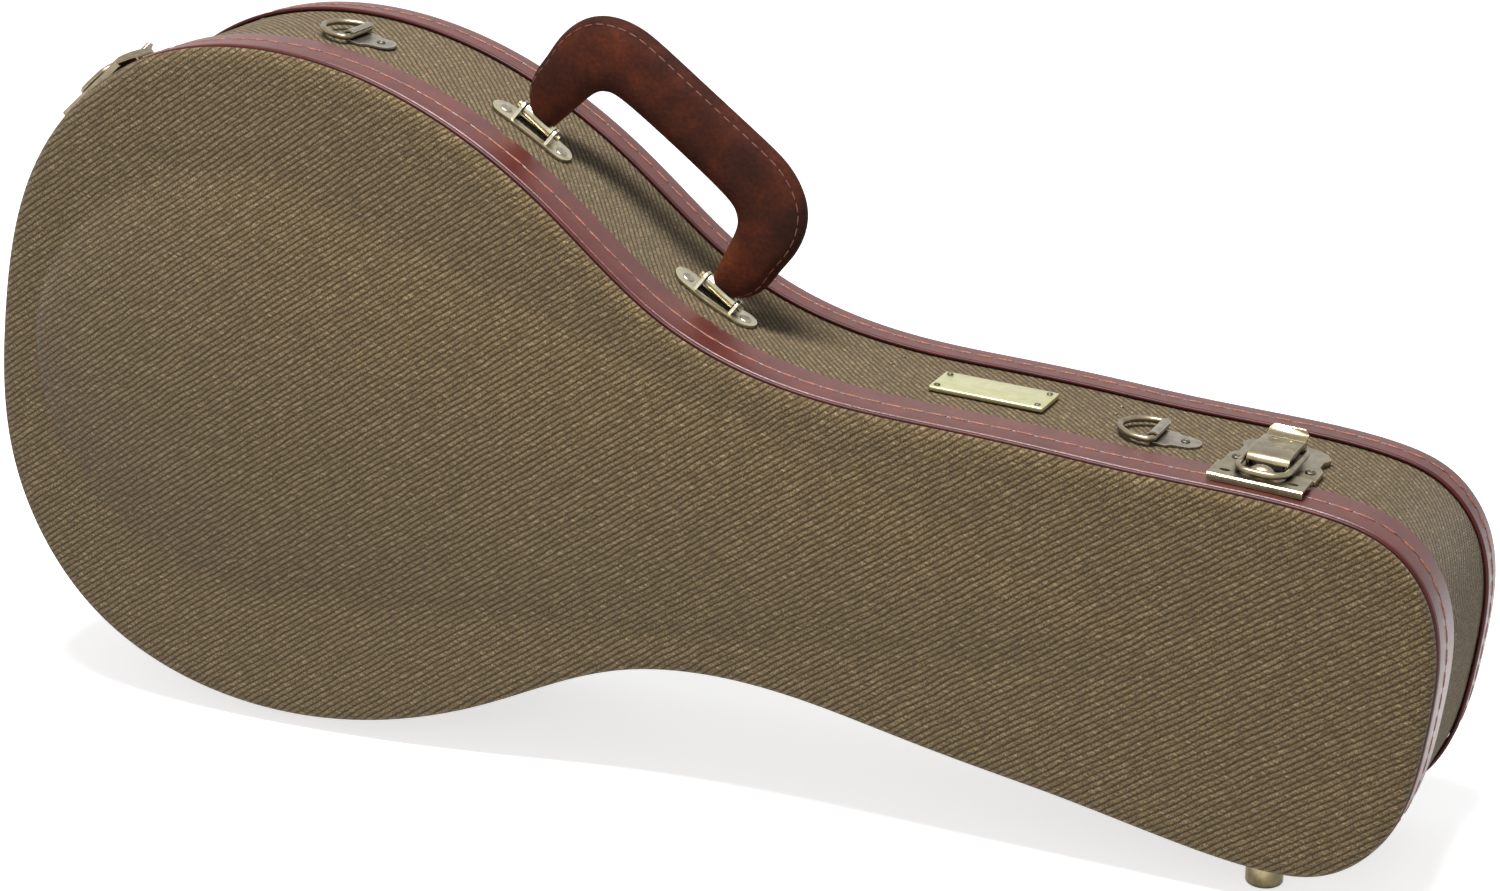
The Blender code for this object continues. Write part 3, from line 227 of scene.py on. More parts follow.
# Light
LAMPS = (                # name, place, size and power
    ("top_light", (0.10, -0.55, 1.8), (0.8, 0.3), 66.0),
    ("front_light", (1.0, -2.4, 1.2), (1.4, 1.4), 7.0),
)
LAMP_TARGET = (0.0, 0.0, 0.2)
ROOM_LIGHT = 0.32
FLOOR_WHITE = 0.82
FLOOR_GLOW = 0.70
WHITE = (1.0, 1.0, 1.0, 1.0)


class Outline:
    """Smooth closed outline through the corners of the back panel's inner face."""

    FINE = 40

    def __init__(self):
        panel = frame["nodes"]["back_panel"]
        inner_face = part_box("back_panel")[0].y + 0.0001
        corners = {(round(v.co.x, 5), round(v.co.z, 5)) for v in panel.data.vertices
                   if v.co.y < inner_face}
        places = [Vector((x, 0.0, z)) for x, z in corners]
        flat = np.array([(place.dot(ALONG), place.dot(ACROSS)) for place in places])
        self.start = flat[:, 0].min() - SKIN
        self.middle = (flat[:, 1].min() + flat[:, 1].max()) / 2.0
        flat -= (self.start, self.middle)
        turn = np.arctan2(flat[:, 1], flat[:, 0] - 0.30)
        order = np.argsort(-turn)
        flat = flat[order]
        flat = np.roll(flat, -int(np.argmin(flat[:, 0])), axis=0)
        self.fit(flat)

    def fit(self, knots):
        """Periodic cubic spline, then an even walk over its upper half."""
        count = len(knots)
        step = np.linalg.norm(np.roll(knots, -1, 0) - knots, axis=1)
        before = np.roll(step, 1)
        rise = (np.roll(knots, -1, 0) - knots) / step[:, None]
        system = np.zeros((count, count))
        right = 6.0 * (rise - np.roll(rise, 1, 0))
        for i in range(count):
            system[i, i - 1] += before[i]
            system[i, i] += 2.0 * (before[i] + step[i])
            system[i, (i + 1) % count] += step[i]
        bend = np.linalg.solve(system, right)
        fine = []
        for i in range(count // 2):
            t = np.linspace(0.0, step[i], self.FINE, endpoint=False)[:, None]
            slope = rise[i] - step[i] * (2.0 * bend[i] + bend[i + 1]) / 6.0
            fine.append(knots[i] + slope * t + bend[i] * t ** 2 / 2.0
                        + (bend[i + 1] - bend[i]) * t ** 3 / (6.0 * step[i]))
        self.points = np.vstack(fine + [knots[count // 2:count // 2 + 1]])
        self.points[0, 1] = self.points[-1, 1] = 0.0
        along = np.gradient(self.points, axis=0)
        along[0] = (0.0, 1.0)
        along[-1] = (0.0, -1.0)
        self.tangents = along / np.linalg.norm(along, axis=1)[:, None]
        run = np.linalg.norm(np.diff(self.points, axis=0), axis=1)
        self.lengths = np.concatenate([[0.0], np.cumsum(run)])
        self.half = float(self.lengths[-1])
        heading = np.unwrap(np.arctan2(self.tangents[:, 1], self.tangents[:, 0]))
        effort = np.concatenate([[0.0], np.cumsum(run / 0.02 + np.abs(np.diff(heading)) / 0.10)])
        wanted = np.linspace(0.0, effort[-1], HALF_SPOKES + 1)
        self.walk = np.interp(wanted, effort, self.lengths)

    def at(self, length):
        """Point, tangent and outward normal at a length from the body end, round the whole outline."""
        length %= 2.0 * self.half
        lower = length > self.half
        run = 2.0 * self.half - length if lower else length
        point = np.array([np.interp(run, self.lengths, self.points[:, k]) for k in (0, 1)])
        along = np.array([np.interp(run, self.lengths, self.tangents[:, k]) for k in (0, 1)])
        along /= np.linalg.norm(along)
        normal = np.array([-along[1], along[0]])
        if lower:
            flip = np.array([1.0, -1.0])
            point, along, normal = point * flip, along * -flip, normal * flip
        return point, along, normal

    def length_at(self, u):
        """Length from the body end to a place along the upper side."""
        return float(np.interp(u, self.points[:, 0], self.lengths))

    def spoke_length(self, spoke):
        """Length from the body end to a spoke, round the whole outline."""
        if spoke <= HALF_SPOKES:
            return float(self.walk[spoke])
        return 2.0 * self.half - float(self.walk[SPOKES - spoke])

    def rim(self, spoke, inset):
        """Point on a spoke at an inset from the bands' faces."""
        point, _, normal = self.at(self.spoke_length(spoke))
        return point - normal * (inset - SKIN)


outline = Outline()


def spot(u, v, w):
    """World place of a point given along, across and into the case."""
    place = ALONG * (u + outline.start) + ACROSS * (v + outline.middle)
    return Vector((place.x, FRONT + w, place.z))


def wall_frame(length, w, inset=0.0):
    """World frame on the wall: x along it, y to the back, z outwards."""
    point, along, normal = outline.at(length)
    origin = point - normal * (inset - SKIN)
    x = ALONG * along[0] + ACROSS * along[1]
    z = ALONG * normal[0] + ACROSS * normal[1]
    made = Matrix((x, BACKWARDS, z)).transposed().to_4x4()
    made.translation = spot(origin[0], origin[1], w)
    return made


def arch(u, v):
    """Rise of the arch over the flat border of the lid's face."""
    if not ARCH_START < u < ARCH_TIP:
        return 0.0
    if u < ARCH_WIDEST:
        part = (ARCH_WIDEST - u) / (ARCH_WIDEST - ARCH_START)
        share = math.sqrt(1.0 - part * part)
    else:
        share = (1.0 - (u - ARCH_WIDEST) / (ARCH_TIP - ARCH_WIDEST)) ** 0.9
    across = v / (ARCH_HALF_WIDTH * share)
    if abs(across) >= 1.0:
        return 0.0
    return ARCH_HEIGHT * share ** 1.2 * (1.0 - across * across)


# Modelling helpers

def only(piece):
    """Makes one object the selected and active one."""
    bpy.ops.object.select_all(action="DESELECT")
    piece.select_set(True)
    bpy.context.view_layer.objects.active = piece


def fresh(name, primitive, **values):
    """Adds a primitive on its own and names it."""
    bpy.ops.object.select_all(action="DESELECT")
    primitive(**values)
    piece = bpy.context.object
    piece.name = name
    piece.data.name = name
    return piece


def apply_modifier(piece, kind, **values):
    """Adds a modifier with its values and applies it."""
    only(piece)
    step = piece.modifiers.new(kind.lower(), kind)
    for key, value in values.items():
        setattr(step, key, value)
    bpy.ops.object.modifier_apply(modifier=step.name)


def bevelled(piece, width, segments, angle):
    """Bevels the edges that are sharper than an angle in degrees."""
    apply_modifier(piece, "BEVEL", width=width, segments=segments, limit_method="ANGLE",
                   angle_limit=math.radians(angle))


def smooth(piece, degrees):
    """Smooth shading, with the edges past an angle left sharp."""
    only(piece)
    bpy.ops.object.shade_smooth_by_angle(angle=math.radians(degrees))


def dress(piece, finish, body, slot, *nodes):
    """Gives a finished piece its material and its body, and hides the CAD nodes that it stands for; its
    slot is not used.
    """
    piece.data.materials.clear()
    piece.data.materials.append(finish)
    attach(piece, body)
    if nodes:
        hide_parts(*nodes)
    return piece


def set_points(piece, points):
    """Moves the selected points, each to the place that its number names."""
    shape = bmesh.from_edit_mesh(piece.data)
    number = shape.verts.layers.int["spoke"]
    for vertex in shape.verts:
        if vertex.select:
            vertex.co = points[vertex[number]]
    bmesh.update_edit_mesh(piece.data)


def set_ring(piece, inset, w):
    """Moves the selected points to the outline's ring at an inset and depth."""
    set_points(piece, [spot(*outline.rim(i, inset), w) for i in range(SPOKES)])


def lofted(name, rings, closed=False, angle=35):
    """A circle extruded from ring to ring; closed joins the last to the first, else both are capped."""
    piece = fresh(name, bpy.ops.mesh.primitive_circle_add, vertices=len(rings[0]), radius=0.3)
    shape = bmesh.new()
    shape.from_mesh(piece.data)
    number = shape.verts.layers.int.new("spoke")
    for i, vertex in enumerate(shape.verts):
        vertex[number] = i
    shape.to_mesh(piece.data)
    shape.free()
    bpy.ops.object.mode_set(mode="EDIT")
    bpy.ops.mesh.select_all(action="SELECT")
    set_points(piece, rings[0])
    for ring in rings[1:] + (rings[:1] if closed else []):
        bpy.ops.mesh.extrude_region_move()
        set_points(piece, ring)
    bpy.ops.mesh.select_all(action="SELECT")
    bpy.ops.mesh.remove_doubles(threshold=1e-6)
    if not closed:
        bpy.ops.mesh.fill_holes(sides=0)
    bpy.ops.mesh.normals_make_consistent(inside=False)
    bpy.ops.object.mode_set(mode="OBJECT")
    smooth(piece, angle)
    return piece


def swept(name, section, closed=True, angle=35):
    """A ring set out along the outline and extruded through a section of inset and depth."""
    rings = [[spot(*outline.rim(i, inset), w) for i in range(SPOKES)] for inset, w in section]
    return lofted(name, rings, closed=closed, angle=angle)


def rounded(points, steps, closed=False):
    """Points on a smooth curve through the given ones, any number of values each."""
    knots = [np.array(p, float) for p in points]
    if closed:
        knots = knots[-1:] + knots + knots[:2]
    else:
        knots = [2.0 * knots[0] - knots[1]] + knots + [2.0 * knots[-1] - knots[-2]]
    made = []
    for i in range(1, len(knots) - 2):
        p = knots[i - 1:i + 3]
        t = [0.0]
        for k in range(3):
            t.append(t[-1] + max(float(np.linalg.norm(p[k + 1] - p[k])), 1e-9) ** 0.5)
        for s in range(steps):
            x = t[1] + (t[2] - t[1]) * s / steps
            a = [((t[k + 1] - x) * p[k] + (x - t[k]) * p[k + 1]) / (t[k + 1] - t[k]) for k in range(3)]
            b = [((t[k + 2] - x) * a[k] + (x - t[k]) * a[k + 1]) / (t[k + 2] - t[k]) for k in range(2)]
            made.append(tuple(((t[2] - x) * b[0] + (x - t[1]) * b[1]) / (t[2] - t[1])))
    if not closed:
        made.append(tuple(knots[-2]))
    return made


def wire(name, path, radius, closed=False):
    """Round wire along a path."""
    bend = bpy.data.curves.new(name, "CURVE")
    bend.dimensions = "3D"
    bend.bevel_depth = radius
    bend.bevel_resolution = 3
    bend.use_fill_caps = True
    line = bend.splines.new("POLY")
    line.points.add(len(path) - 1)
    for point, place in zip(line.points, path):
        point.co = (*place, 1.0)
    line.use_cyclic_u = closed
    piece = bpy.data.objects.new(name, bend)
    bpy.context.collection.objects.link(piece)
    only(piece)
    bpy.ops.object.convert(target="MESH")
    piece = bpy.context.object
    piece.name = name
    smooth(piece, 60)
    return piece


def turned(name, profile, sides=16):
    """A profile of radius and height turned round z."""
    rings = [[(r * math.cos(2.0 * math.pi * k / sides), r * math.sin(2.0 * math.pi * k / sides), z)
              for k in range(sides)] for r, z in profile]
    return lofted(name, rings, angle=40)


def rivet(radius, height):
    """Rivet head with a sunk middle."""
    return turned("one_rivet", [
        (radius, -0.0004), (radius, height * 0.3), (radius * 0.90, height * 0.8), (radius * 0.74, height),
        (radius * 0.60, height * 0.92), (radius * 0.50, height * 0.45), (radius * 0.30, height * 0.35),
        (radius * 0.08, height * 0.5)])


def joint_frame(name):
    """Frame on a joint: x along its axis, y to the back, z outwards."""
    joint = next(j for j in frame["joints"] if j["name"] == name)
    x = Vector(joint["axis"])
    made = Matrix((x, BACKWARDS, x.cross(BACKWARDS))).transposed().to_4x4()
    made.translation = Vector(joint["pos_m"])
    return made


def arched(name, w, rings, thickness):
    """A grid set out across the outline and raised to the arch, its rim extruded through rings."""
    piece = fresh(name, bpy.ops.mesh.primitive_grid_add, x_subdivisions=HALF_SPOKES,
                  y_subdivisions=ARCH_STRIPS, size=1.0)
    shape = bmesh.new()
    shape.from_mesh(piece.data)
    spoke = shape.verts.layers.int.new("spoke")
    for vertex in shape.verts:
        i = round((vertex.co.x + 0.5) * HALF_SPOKES)
        k = round((vertex.co.y + 0.5) * ARCH_STRIPS)
        vertex[spoke] = i if k <= ARCH_STRIPS // 2 else (SPOKES - i) % SPOKES
        u, high = outline.rim(i, SHOULDER_WIDTH)
        v = high * (1.0 - 2.0 * k / ARCH_STRIPS)
        vertex.co = spot(u, v, w - arch(u, v))
    shape.to_mesh(piece.data)
    shape.free()
    bpy.ops.object.mode_set(mode="EDIT")
    bpy.ops.mesh.select_all(action="SELECT")
    bpy.ops.mesh.remove_doubles(threshold=1e-6)
    bpy.ops.mesh.select_all(action="DESELECT")
    bpy.ops.mesh.select_mode(type="EDGE")
    shape = bmesh.from_edit_mesh(piece.data)
    for edge in shape.edges:
        edge.select = edge.is_boundary
    bmesh.update_edit_mesh(piece.data)
    bpy.ops.mesh.select_mode(type="VERT")
    for ring in rings:
        bpy.ops.mesh.extrude_region_move()
        set_ring(piece, *ring)
    bpy.ops.mesh.select_all(action="SELECT")
    bpy.ops.mesh.normals_make_consistent(inside=False)
    bpy.ops.object.mode_set(mode="OBJECT")
    if sum(face.normal.y * face.area for face in piece.data.polygons) > 0.0:
        piece.data.flip_normals()
    apply_modifier(piece, "SOLIDIFY", thickness=thickness, offset=-1.0)
    smooth(piece, 40)
    return piece


def cloth_layer(piece):
    """The UV map that the weave reads."""
    layers = piece.data.uv_layers
    layer = layers[0] if layers else layers.new(name="cloth")
    layer.name = "cloth"
    return layer


def face_map(piece):
    """UV map that lies flat on the case's face."""
    layer = cloth_layer(piece)
    for loop in piece.data.loops:
        place = piece.data.vertices[loop.vertex_index].co
        layer.data[loop.index].uv = (place.dot(ALONG), place.dot(ACROSS))


def wall_map(piece):
    """UV map that runs round the wall, by length and depth, and turns in over its edges."""
    layer = cloth_layer(piece)
    spokes = piece.data.attributes["spoke"].data
    for face in piece.data.polygons:
        numbers = [spokes[i].value for i in face.vertices]
        wraps = max(numbers) - min(numbers) > SPOKES // 2
        for corner, number in zip(face.loop_indices, numbers):
            run = outline.spoke_length(number)
            if wraps and number < SPOKES // 2:
                run += 2.0 * outline.half
            place = piece.data.vertices[piece.data.loops[corner].vertex_index].co
            skin = spot(*outline.rim(number, SKIN), 0.0)
            inset = math.hypot(place.x - skin.x, place.z - skin.z)
            layer.data[corner].uv = (run, place.y - inset)


def copy_of(node, name):
    """A merged copy of a CAD node, with its flat faces whole again."""
    source = frame["nodes"][node]
    piece = bpy.data.objects.new(name, source.data.copy())
    bpy.context.collection.objects.link(piece)
    only(piece)
    bpy.ops.object.mode_set(mode="EDIT")
    bpy.ops.mesh.select_all(action="SELECT")
    bpy.ops.mesh.remove_doubles(threshold=1e-6)
    bpy.ops.mesh.dissolve_limited(angle_limit=math.radians(0.5))
    bpy.ops.object.mode_set(mode="OBJECT")
    return piece


def eased(node, name, width, segments=2):
    """A CAD node's shape with its sharp edges eased."""
    piece = copy_of(node, name)
    bevelled(piece, width, segments, 30)
    smooth(piece, 40)
    return piece


def cut(piece, cutter):
    """Takes a cutter's shape out of a piece."""
    apply_modifier(piece, "BOOLEAN", operation="DIFFERENCE", solver="EXACT", object=cutter)
    bpy.data.objects.remove(cutter, do_unlink=True)


def soft_copy(node, name, voxel):
    """A CAD soft solid as an even mesh of small faces."""
    piece = copy_of(node, name)
    apply_modifier(piece, "REMESH", mode="VOXEL", voxel_size=voxel)
    apply_modifier(piece, "SMOOTH", factor=0.5, iterations=3)
    smooth(piece, 70)
    return piece


def swell(piece, pressure, most, share):
    """Blows a closed cloth up from inside: most is the longest move, share each point's part of it."""
    only(piece)
    step = piece.modifiers.new("swell", "CLOTH")
    step.settings.use_pressure = True
    step.settings.uniform_pressure_force = pressure
    step.settings.effector_weights.gravity = 0.0
    for number in range(1, SWELL_FRAMES + 1):
        bpy.context.scene.frame_set(number)
    rest = np.array([v.co[:] for v in piece.data.vertices])
    swollen = piece.evaluated_get(bpy.context.evaluated_depsgraph_get())
    blown = np.array([v.co[:] for v in swollen.to_mesh().vertices])
    swollen.to_mesh_clear()
    piece.modifiers.remove(step)
    bpy.context.scene.frame_set(1)
    move = blown - rest
    length = np.maximum(np.linalg.norm(move, axis=1), 1e-9)
    move *= (np.minimum(1.0, most / length) * share(rest))[:, None]
    for vertex, place in zip(piece.data.vertices, rest + move):
        vertex.co = place


def gather(name, template, places):
    """Copies of a small shape, one at each place, as one piece; the shape itself is removed."""
    shape = bmesh.new()
    for place in places:
        part = template.data.copy()
        part.transform(place)
        shape.from_mesh(part)
        bpy.data.meshes.remove(part)
    mesh = bpy.data.meshes.new(name)
    shape.to_mesh(mesh)
    shape.free()
    piece = bpy.data.objects.new(name, mesh)
    bpy.context.collection.objects.link(piece)
    bpy.data.objects.remove(template, do_unlink=True)
    smooth(piece, 50)
    return piece


# Materials

def srgb(red, green, blue):
    """Linear colour of a colour read off the photograph, 0 to 255."""
    parts = [c / 255.0 for c in (red, green, blue)]
    return tuple(c / 12.92 if c <= 0.04045 else ((c + 0.055) / 1.055) ** 2.4 for c in parts) + (1.0,)


class Group:
    """Makes a shader node group with named sockets."""

    def __init__(self, name, inputs, outputs):
        self.tree = bpy.data.node_groups.new(name, "ShaderNodeTree")
        for title, kind, value in inputs:
            socket = self.tree.interface.new_socket(name=title, in_out="INPUT", socket_type=kind)
            if value is not None:
                socket.default_value = value
        for title, kind in outputs:
            self.tree.interface.new_socket(name=title, in_out="OUTPUT", socket_type=kind)
        self.start = self.tree.nodes.new("NodeGroupInput")
        self.end = self.tree.nodes.new("NodeGroupOutput")


def feed(tree, socket, source):
    """Links a socket to its source, or sets it to a constant."""
    if isinstance(source, bpy.types.NodeSocket):
        tree.links.new(source, socket)
    else:
        socket.default_value = source


def add(tree, kind, links=None, **values):
    """Adds a node, sets its values and feeds its inputs."""
    node = tree.nodes.new(kind)
    for key, value in values.items():
        setattr(node, key, value)
    for key, source in (links or {}).items():
        feed(tree, node.inputs[key], source)
    return node


def maths(tree, operation, *values):
    """A Math node's result."""
    return add(tree, "ShaderNodeMath", dict(enumerate(values)), operation=operation).outputs[0]


def ramp(tree, value, *stops):
    """A colour ramp's colour, from stops of position and colour."""
    node = add(tree, "ShaderNodeValToRGB", {"Fac": value})
    elements = node.color_ramp.elements
    while len(elements) < len(stops):
        elements.new(0.5)
    for element, (position, colour) in zip(elements, stops):
        element.position = position
        element.color = colour
    return node.outputs["Color"]


def mix(tree, share, first, second, blend="MIX"):
    """A colour mix."""
    node = add(tree, "ShaderNodeMix", {0: share, 6: first, 7: second}, data_type="RGBA", blend_type=blend)
    return node.outputs[2]


def weave_group():
    """Twill: slanted ribs of leaning yarns, with each yarn's tone, its fuzz, broad blotches and a mask for
    the painted shade between the yarns.
    """
    group = Group("twill_weave", [
        ("Vector", "NodeSocketVector", None), ("Angle", "NodeSocketFloat", 0.5),
        ("Pitch", "NodeSocketFloat", 0.0031), ("Yarn Pitch", "NodeSocketFloat", 0.0013)],
        [(title, "NodeSocketFloat") for title in ("Height", "Gap Shade", "Tone", "Fuzz", "Blotch")])
    tree, start = group.tree, group.start
    cloth = start.outputs["Vector"]
    wander = add(tree, "ShaderNodeTexNoise", {"Vector": cloth, "Scale": 70.0, "Detail": 3.0})
    drift = add(tree, "ShaderNodeVectorMath", {0: wander.outputs["Color"], 1: (0.5, 0.5, 0.5)},
                operation="SUBTRACT")
    small = add(tree, "ShaderNodeVectorMath", {0: drift.outputs[0]}, operation="SCALE")
    small.inputs["Scale"].default_value = WANDER
    moved = add(tree, "ShaderNodeVectorMath", {0: cloth, 1: small.outputs[0]}, operation="ADD")
    turned_cloth = add(tree, "ShaderNodeVectorRotate", {"Vector": moved.outputs[0],
                                                        "Angle": start.outputs["Angle"]},
                       rotation_type="Z_AXIS")
    parts = add(tree, "ShaderNodeSeparateXYZ", {0: turned_cloth.outputs[0]})
    row = maths(tree, "DIVIDE", parts.outputs["Y"], start.outputs["Pitch"])
    row_number = maths(tree, "FLOOR", row)
    row_part = maths(tree, "FRACT", row)
    lean = maths(tree, "MULTIPLY", row_part, YARN_LEAN)
    shift = maths(tree, "ADD", lean, maths(tree, "MULTIPLY", row_number, ROW_SHIFT))
    run = maths(tree, "ADD", maths(tree, "DIVIDE", parts.outputs["X"], start.outputs["Yarn Pitch"]), shift)
    run_number = maths(tree, "FLOOR", run)
    across = maths(tree, "SINE", maths(tree, "MULTIPLY", row_part, math.pi))
    along = maths(tree, "SINE", maths(tree, "MULTIPLY", maths(tree, "FRACT", run), math.pi))
    crown = maths(tree, "POWER", across, 1.1)
    bead = maths(tree, "ADD", maths(tree, "MULTIPLY", along, BEAD_DEPTH), 1.0 - BEAD_DEPTH)
    beads = maths(tree, "MULTIPLY", crown, bead)
    cell = add(tree, "ShaderNodeCombineXYZ", {0: row_number, 1: run_number})
    tone = add(tree, "ShaderNodeTexWhiteNoise", {"Vector": cell.outputs[0]}, noise_dimensions="2D")
    fuzz = add(tree, "ShaderNodeTexNoise", {"Vector": cloth, "Scale": 1100.0, "Detail": 3.0,
                                            "Roughness": 0.75})
    blotch = add(tree, "ShaderNodeTexNoise", {"Vector": cloth, "Scale": 210.0, "Detail": 5.0,
                                              "Roughness": 0.8})
    height = maths(tree, "ADD", beads, maths(tree, "MULTIPLY", fuzz.outputs["Fac"], FUZZ_HEIGHT))
    uneven = maths(tree, "MULTIPLY", maths(tree, "SUBTRACT", blotch.outputs["Fac"], 0.5), UNEVENNESS)
    # Mask for the painted shade in the gaps between the yarns, made uneven by the blotches.
    gap = maths(tree, "ADD", maths(tree, "SUBTRACT", 1.0, beads), uneven)
    for name, source in (("Height", height), ("Gap Shade", gap), ("Tone", tone.outputs["Value"]),
                         ("Fuzz", fuzz.outputs["Fac"]), ("Blotch", blotch.outputs["Fac"])):
        tree.links.new(source, group.end.inputs[name])
    return group.tree


def mottle_group():
    """Broad and fine mottling for leather and metal, from object coordinates."""
    group = Group("mottle", [("Scale", "NodeSocketFloat", 60.0)],
                  [("Broad", "NodeSocketFloat"), ("Fine", "NodeSocketFloat")])
    tree = group.tree
    place = add(tree, "ShaderNodeTexCoord").outputs["Object"]
    broad = add(tree, "ShaderNodeTexNoise", {"Vector": place, "Scale": group.start.outputs["Scale"],
                                             "Detail": 3.0, "Roughness": 0.6})
    fine_scale = maths(tree, "MULTIPLY", group.start.outputs["Scale"], 14.0)
    fine = add(tree, "ShaderNodeTexNoise", {"Vector": place, "Scale": fine_scale, "Detail": 2.0})
    tree.links.new(broad.outputs["Fac"], group.end.inputs["Broad"])
    tree.links.new(fine.outputs["Fac"], group.end.inputs["Fine"])
    return group.tree


def edge_group():
    """Mask of outer edges, for worn metal."""
    group = Group("edge_wear", [("Radius", "NodeSocketFloat", 0.0006)], [("Edge", "NodeSocketFloat")])
    tree = group.tree
    bevel = add(tree, "ShaderNodeBevel", {"Radius": group.start.outputs["Radius"]}, samples=6)
    plain = add(tree, "ShaderNodeNewGeometry")
    alike = add(tree, "ShaderNodeVectorMath", {0: bevel.outputs[0], 1: plain.outputs["Normal"]},
                operation="DOT_PRODUCT")
    edge = add(tree, "ShaderNodeMapRange", {"Value": alike.outputs["Value"], "From Min": 0.995,
                                            "From Max": 0.90})
    tree.links.new(edge.outputs["Result"], group.end.inputs["Edge"])
    return group.tree


WEAVE = weave_group()
MOTTLE = mottle_group()
EDGE = edge_group()


def blank(name, roughness, **sockets):
    """A material with a Principled shader, its tree and shader returned with it."""
    made = bpy.data.materials.new(name)
    made.use_nodes = True
    shader = made.node_tree.nodes["Principled BSDF"]
    shader.inputs["Roughness"].default_value = roughness
    for key, value in sockets.items():
        shader.inputs[key.replace("_", " ")].default_value = value
    return made, made.node_tree, shader


def grouped(tree, group, **values):
    """Places a node group with its values."""
    node = tree.nodes.new("ShaderNodeGroup")
    node.node_tree = group
    for key, value in values.items():
        feed(tree, node.inputs[key.replace("_", " ")], value)
    return node


def bump(tree, shader, height, distance, strength=1.0):
    """Fine relief from a height, on the shader's normal."""
    node = add(tree, "ShaderNodeBump", {"Height": height, "Distance": distance, "Strength": strength})
    tree.links.new(node.outputs[0], shader.inputs["Normal"])


def tweed(name, angle, pitch, yarn_pitch, depth):
    """Olive twill tweed: light and dark yarns over gaps darkened with painted shade, with fuzz and faint
    blotches.
    """
    made, tree, shader = blank(name, 0.95, Sheen_Weight=0.10, Sheen_Roughness=0.6,
                               Specular_IOR_Level=0.15)
    cloth = add(tree, "ShaderNodeUVMap", uv_map="cloth")
    weave = grouped(tree, WEAVE, Vector=cloth.outputs[0], Angle=angle, Pitch=pitch, Yarn_Pitch=yarn_pitch)
    yarn = ramp(tree, weave.outputs["Tone"], (0.0, srgb(108, 93, 62)), (0.5, srgb(121, 104, 72)),
                (0.9, srgb(133, 115, 82)), (1.0, srgb(150, 132, 98)))
    fuzz = ramp(tree, weave.outputs["Fuzz"], (0.38, srgb(132, 120, 98)), (0.60, WHITE))
    yarn = mix(tree, 1.0, yarn, fuzz, "MULTIPLY")
    worn = ramp(tree, weave.outputs["Blotch"], (0.30, srgb(205, 198, 186)), (0.62, WHITE))
    yarn = mix(tree, 1.0, yarn, worn, "MULTIPLY")
    # Painted shade: the gaps between the yarns are darkened towards a dark brown.
    painted_gap_shade = ramp(tree, weave.outputs["Gap Shade"], (0.34, (0.0, 0.0, 0.0, 1.0)),
                (0.84, (depth, depth, depth, 1.0)))
    colour = mix(tree, painted_gap_shade, yarn, srgb(38, 28, 15))
    tree.links.new(colour, shader.inputs["Base Color"])
    bump(tree, shader, weave.outputs["Height"], 0.0006, 0.7)
    return made


def leather(name, colour, dark, roughness, scale=60.0, grain=0.00012, gleam=0.42):
    """Smooth leather: faint mottling, pores and a soft gloss."""
    made, tree, shader = blank(name, roughness, Specular_IOR_Level=gleam)
    marks = grouped(tree, MOTTLE, Scale=scale)
    tone = ramp(tree, marks.outputs["Broad"], (0.3, dark), (0.7, colour))
    tree.links.new(tone, shader.inputs["Base Color"])
    place = add(tree, "ShaderNodeTexCoord").outputs["Object"]
    pores = add(tree, "ShaderNodeTexVoronoi", {"Vector": place, "Scale": 1500.0})
    soft = maths(tree, "MULTIPLY", marks.outputs["Fine"], 0.6)
    height = maths(tree, "ADD", pores.outputs["Distance"], soft)
    bump(tree, shader, height, grain, 0.5)
    gloss = add(tree, "ShaderNodeMapRange", {"Value": marks.outputs["Fine"], "To Min": roughness - 0.06,
                                             "To Max": roughness + 0.08})
    tree.links.new(gloss.outputs["Result"], shader.inputs["Roughness"])
    return made


def suede():
    """Red-brown nubuck with rubbed patches and a short nap."""
    made, tree, shader = blank("handle_suede", 0.80, Sheen_Weight=0.05, Sheen_Roughness=0.45,
                               Sheen_Tint=srgb(190, 110, 70), Specular_IOR_Level=0.14)
    marks = grouped(tree, MOTTLE, Scale=34.0)
    tone = ramp(tree, marks.outputs["Broad"], (0.30, srgb(32, 11, 4)), (0.50, srgb(50, 19, 7)),
                (0.62, srgb(66, 27, 10)), (0.80, srgb(92, 42, 18)))
    nap = ramp(tree, marks.outputs["Fine"], (0.3, srgb(170, 160, 155)), (0.7, WHITE))
    tree.links.new(mix(tree, 0.6, tone, nap, "MULTIPLY"), shader.inputs["Base Color"])
    bump(tree, shader, marks.outputs["Fine"], 0.0005, 0.6)
    return made


def metal(name, colour, tarnish, bright, roughness, wear=0.0005):
    """Plated metal: painted shade in the corners and hollows, bright worn edges, fine scratches."""
    made, tree, shader = blank(name, roughness, Metallic=1.0)
    marks = grouped(tree, MOTTLE, Scale=150.0)
    tone = ramp(tree, marks.outputs["Broad"], (0.32, tarnish), (0.66, colour))
    # Painted shade: ambient occlusion darkens the corners and hollows.
    corners = add(tree, "ShaderNodeAmbientOcclusion", {"Distance": 0.0035}, samples=8)
    painted_corner_shade = ramp(tree, corners.outputs["AO"], (0.25, srgb(92, 82, 66)), (0.85, WHITE))
    tone = mix(tree, 1.0, tone, painted_corner_shade, "MULTIPLY")
    edge = grouped(tree, EDGE, Radius=wear)
    tree.links.new(mix(tree, edge.outputs["Edge"], tone, bright), shader.inputs["Base Color"])
    gloss = add(tree, "ShaderNodeMapRange", {"Value": marks.outputs["Broad"], "To Min": roughness + 0.12,
                                             "To Max": roughness - 0.06})
    tree.links.new(gloss.outputs["Result"], shader.inputs["Roughness"])
    bump(tree, shader, marks.outputs["Fine"], 0.00006, 0.3)
    return made


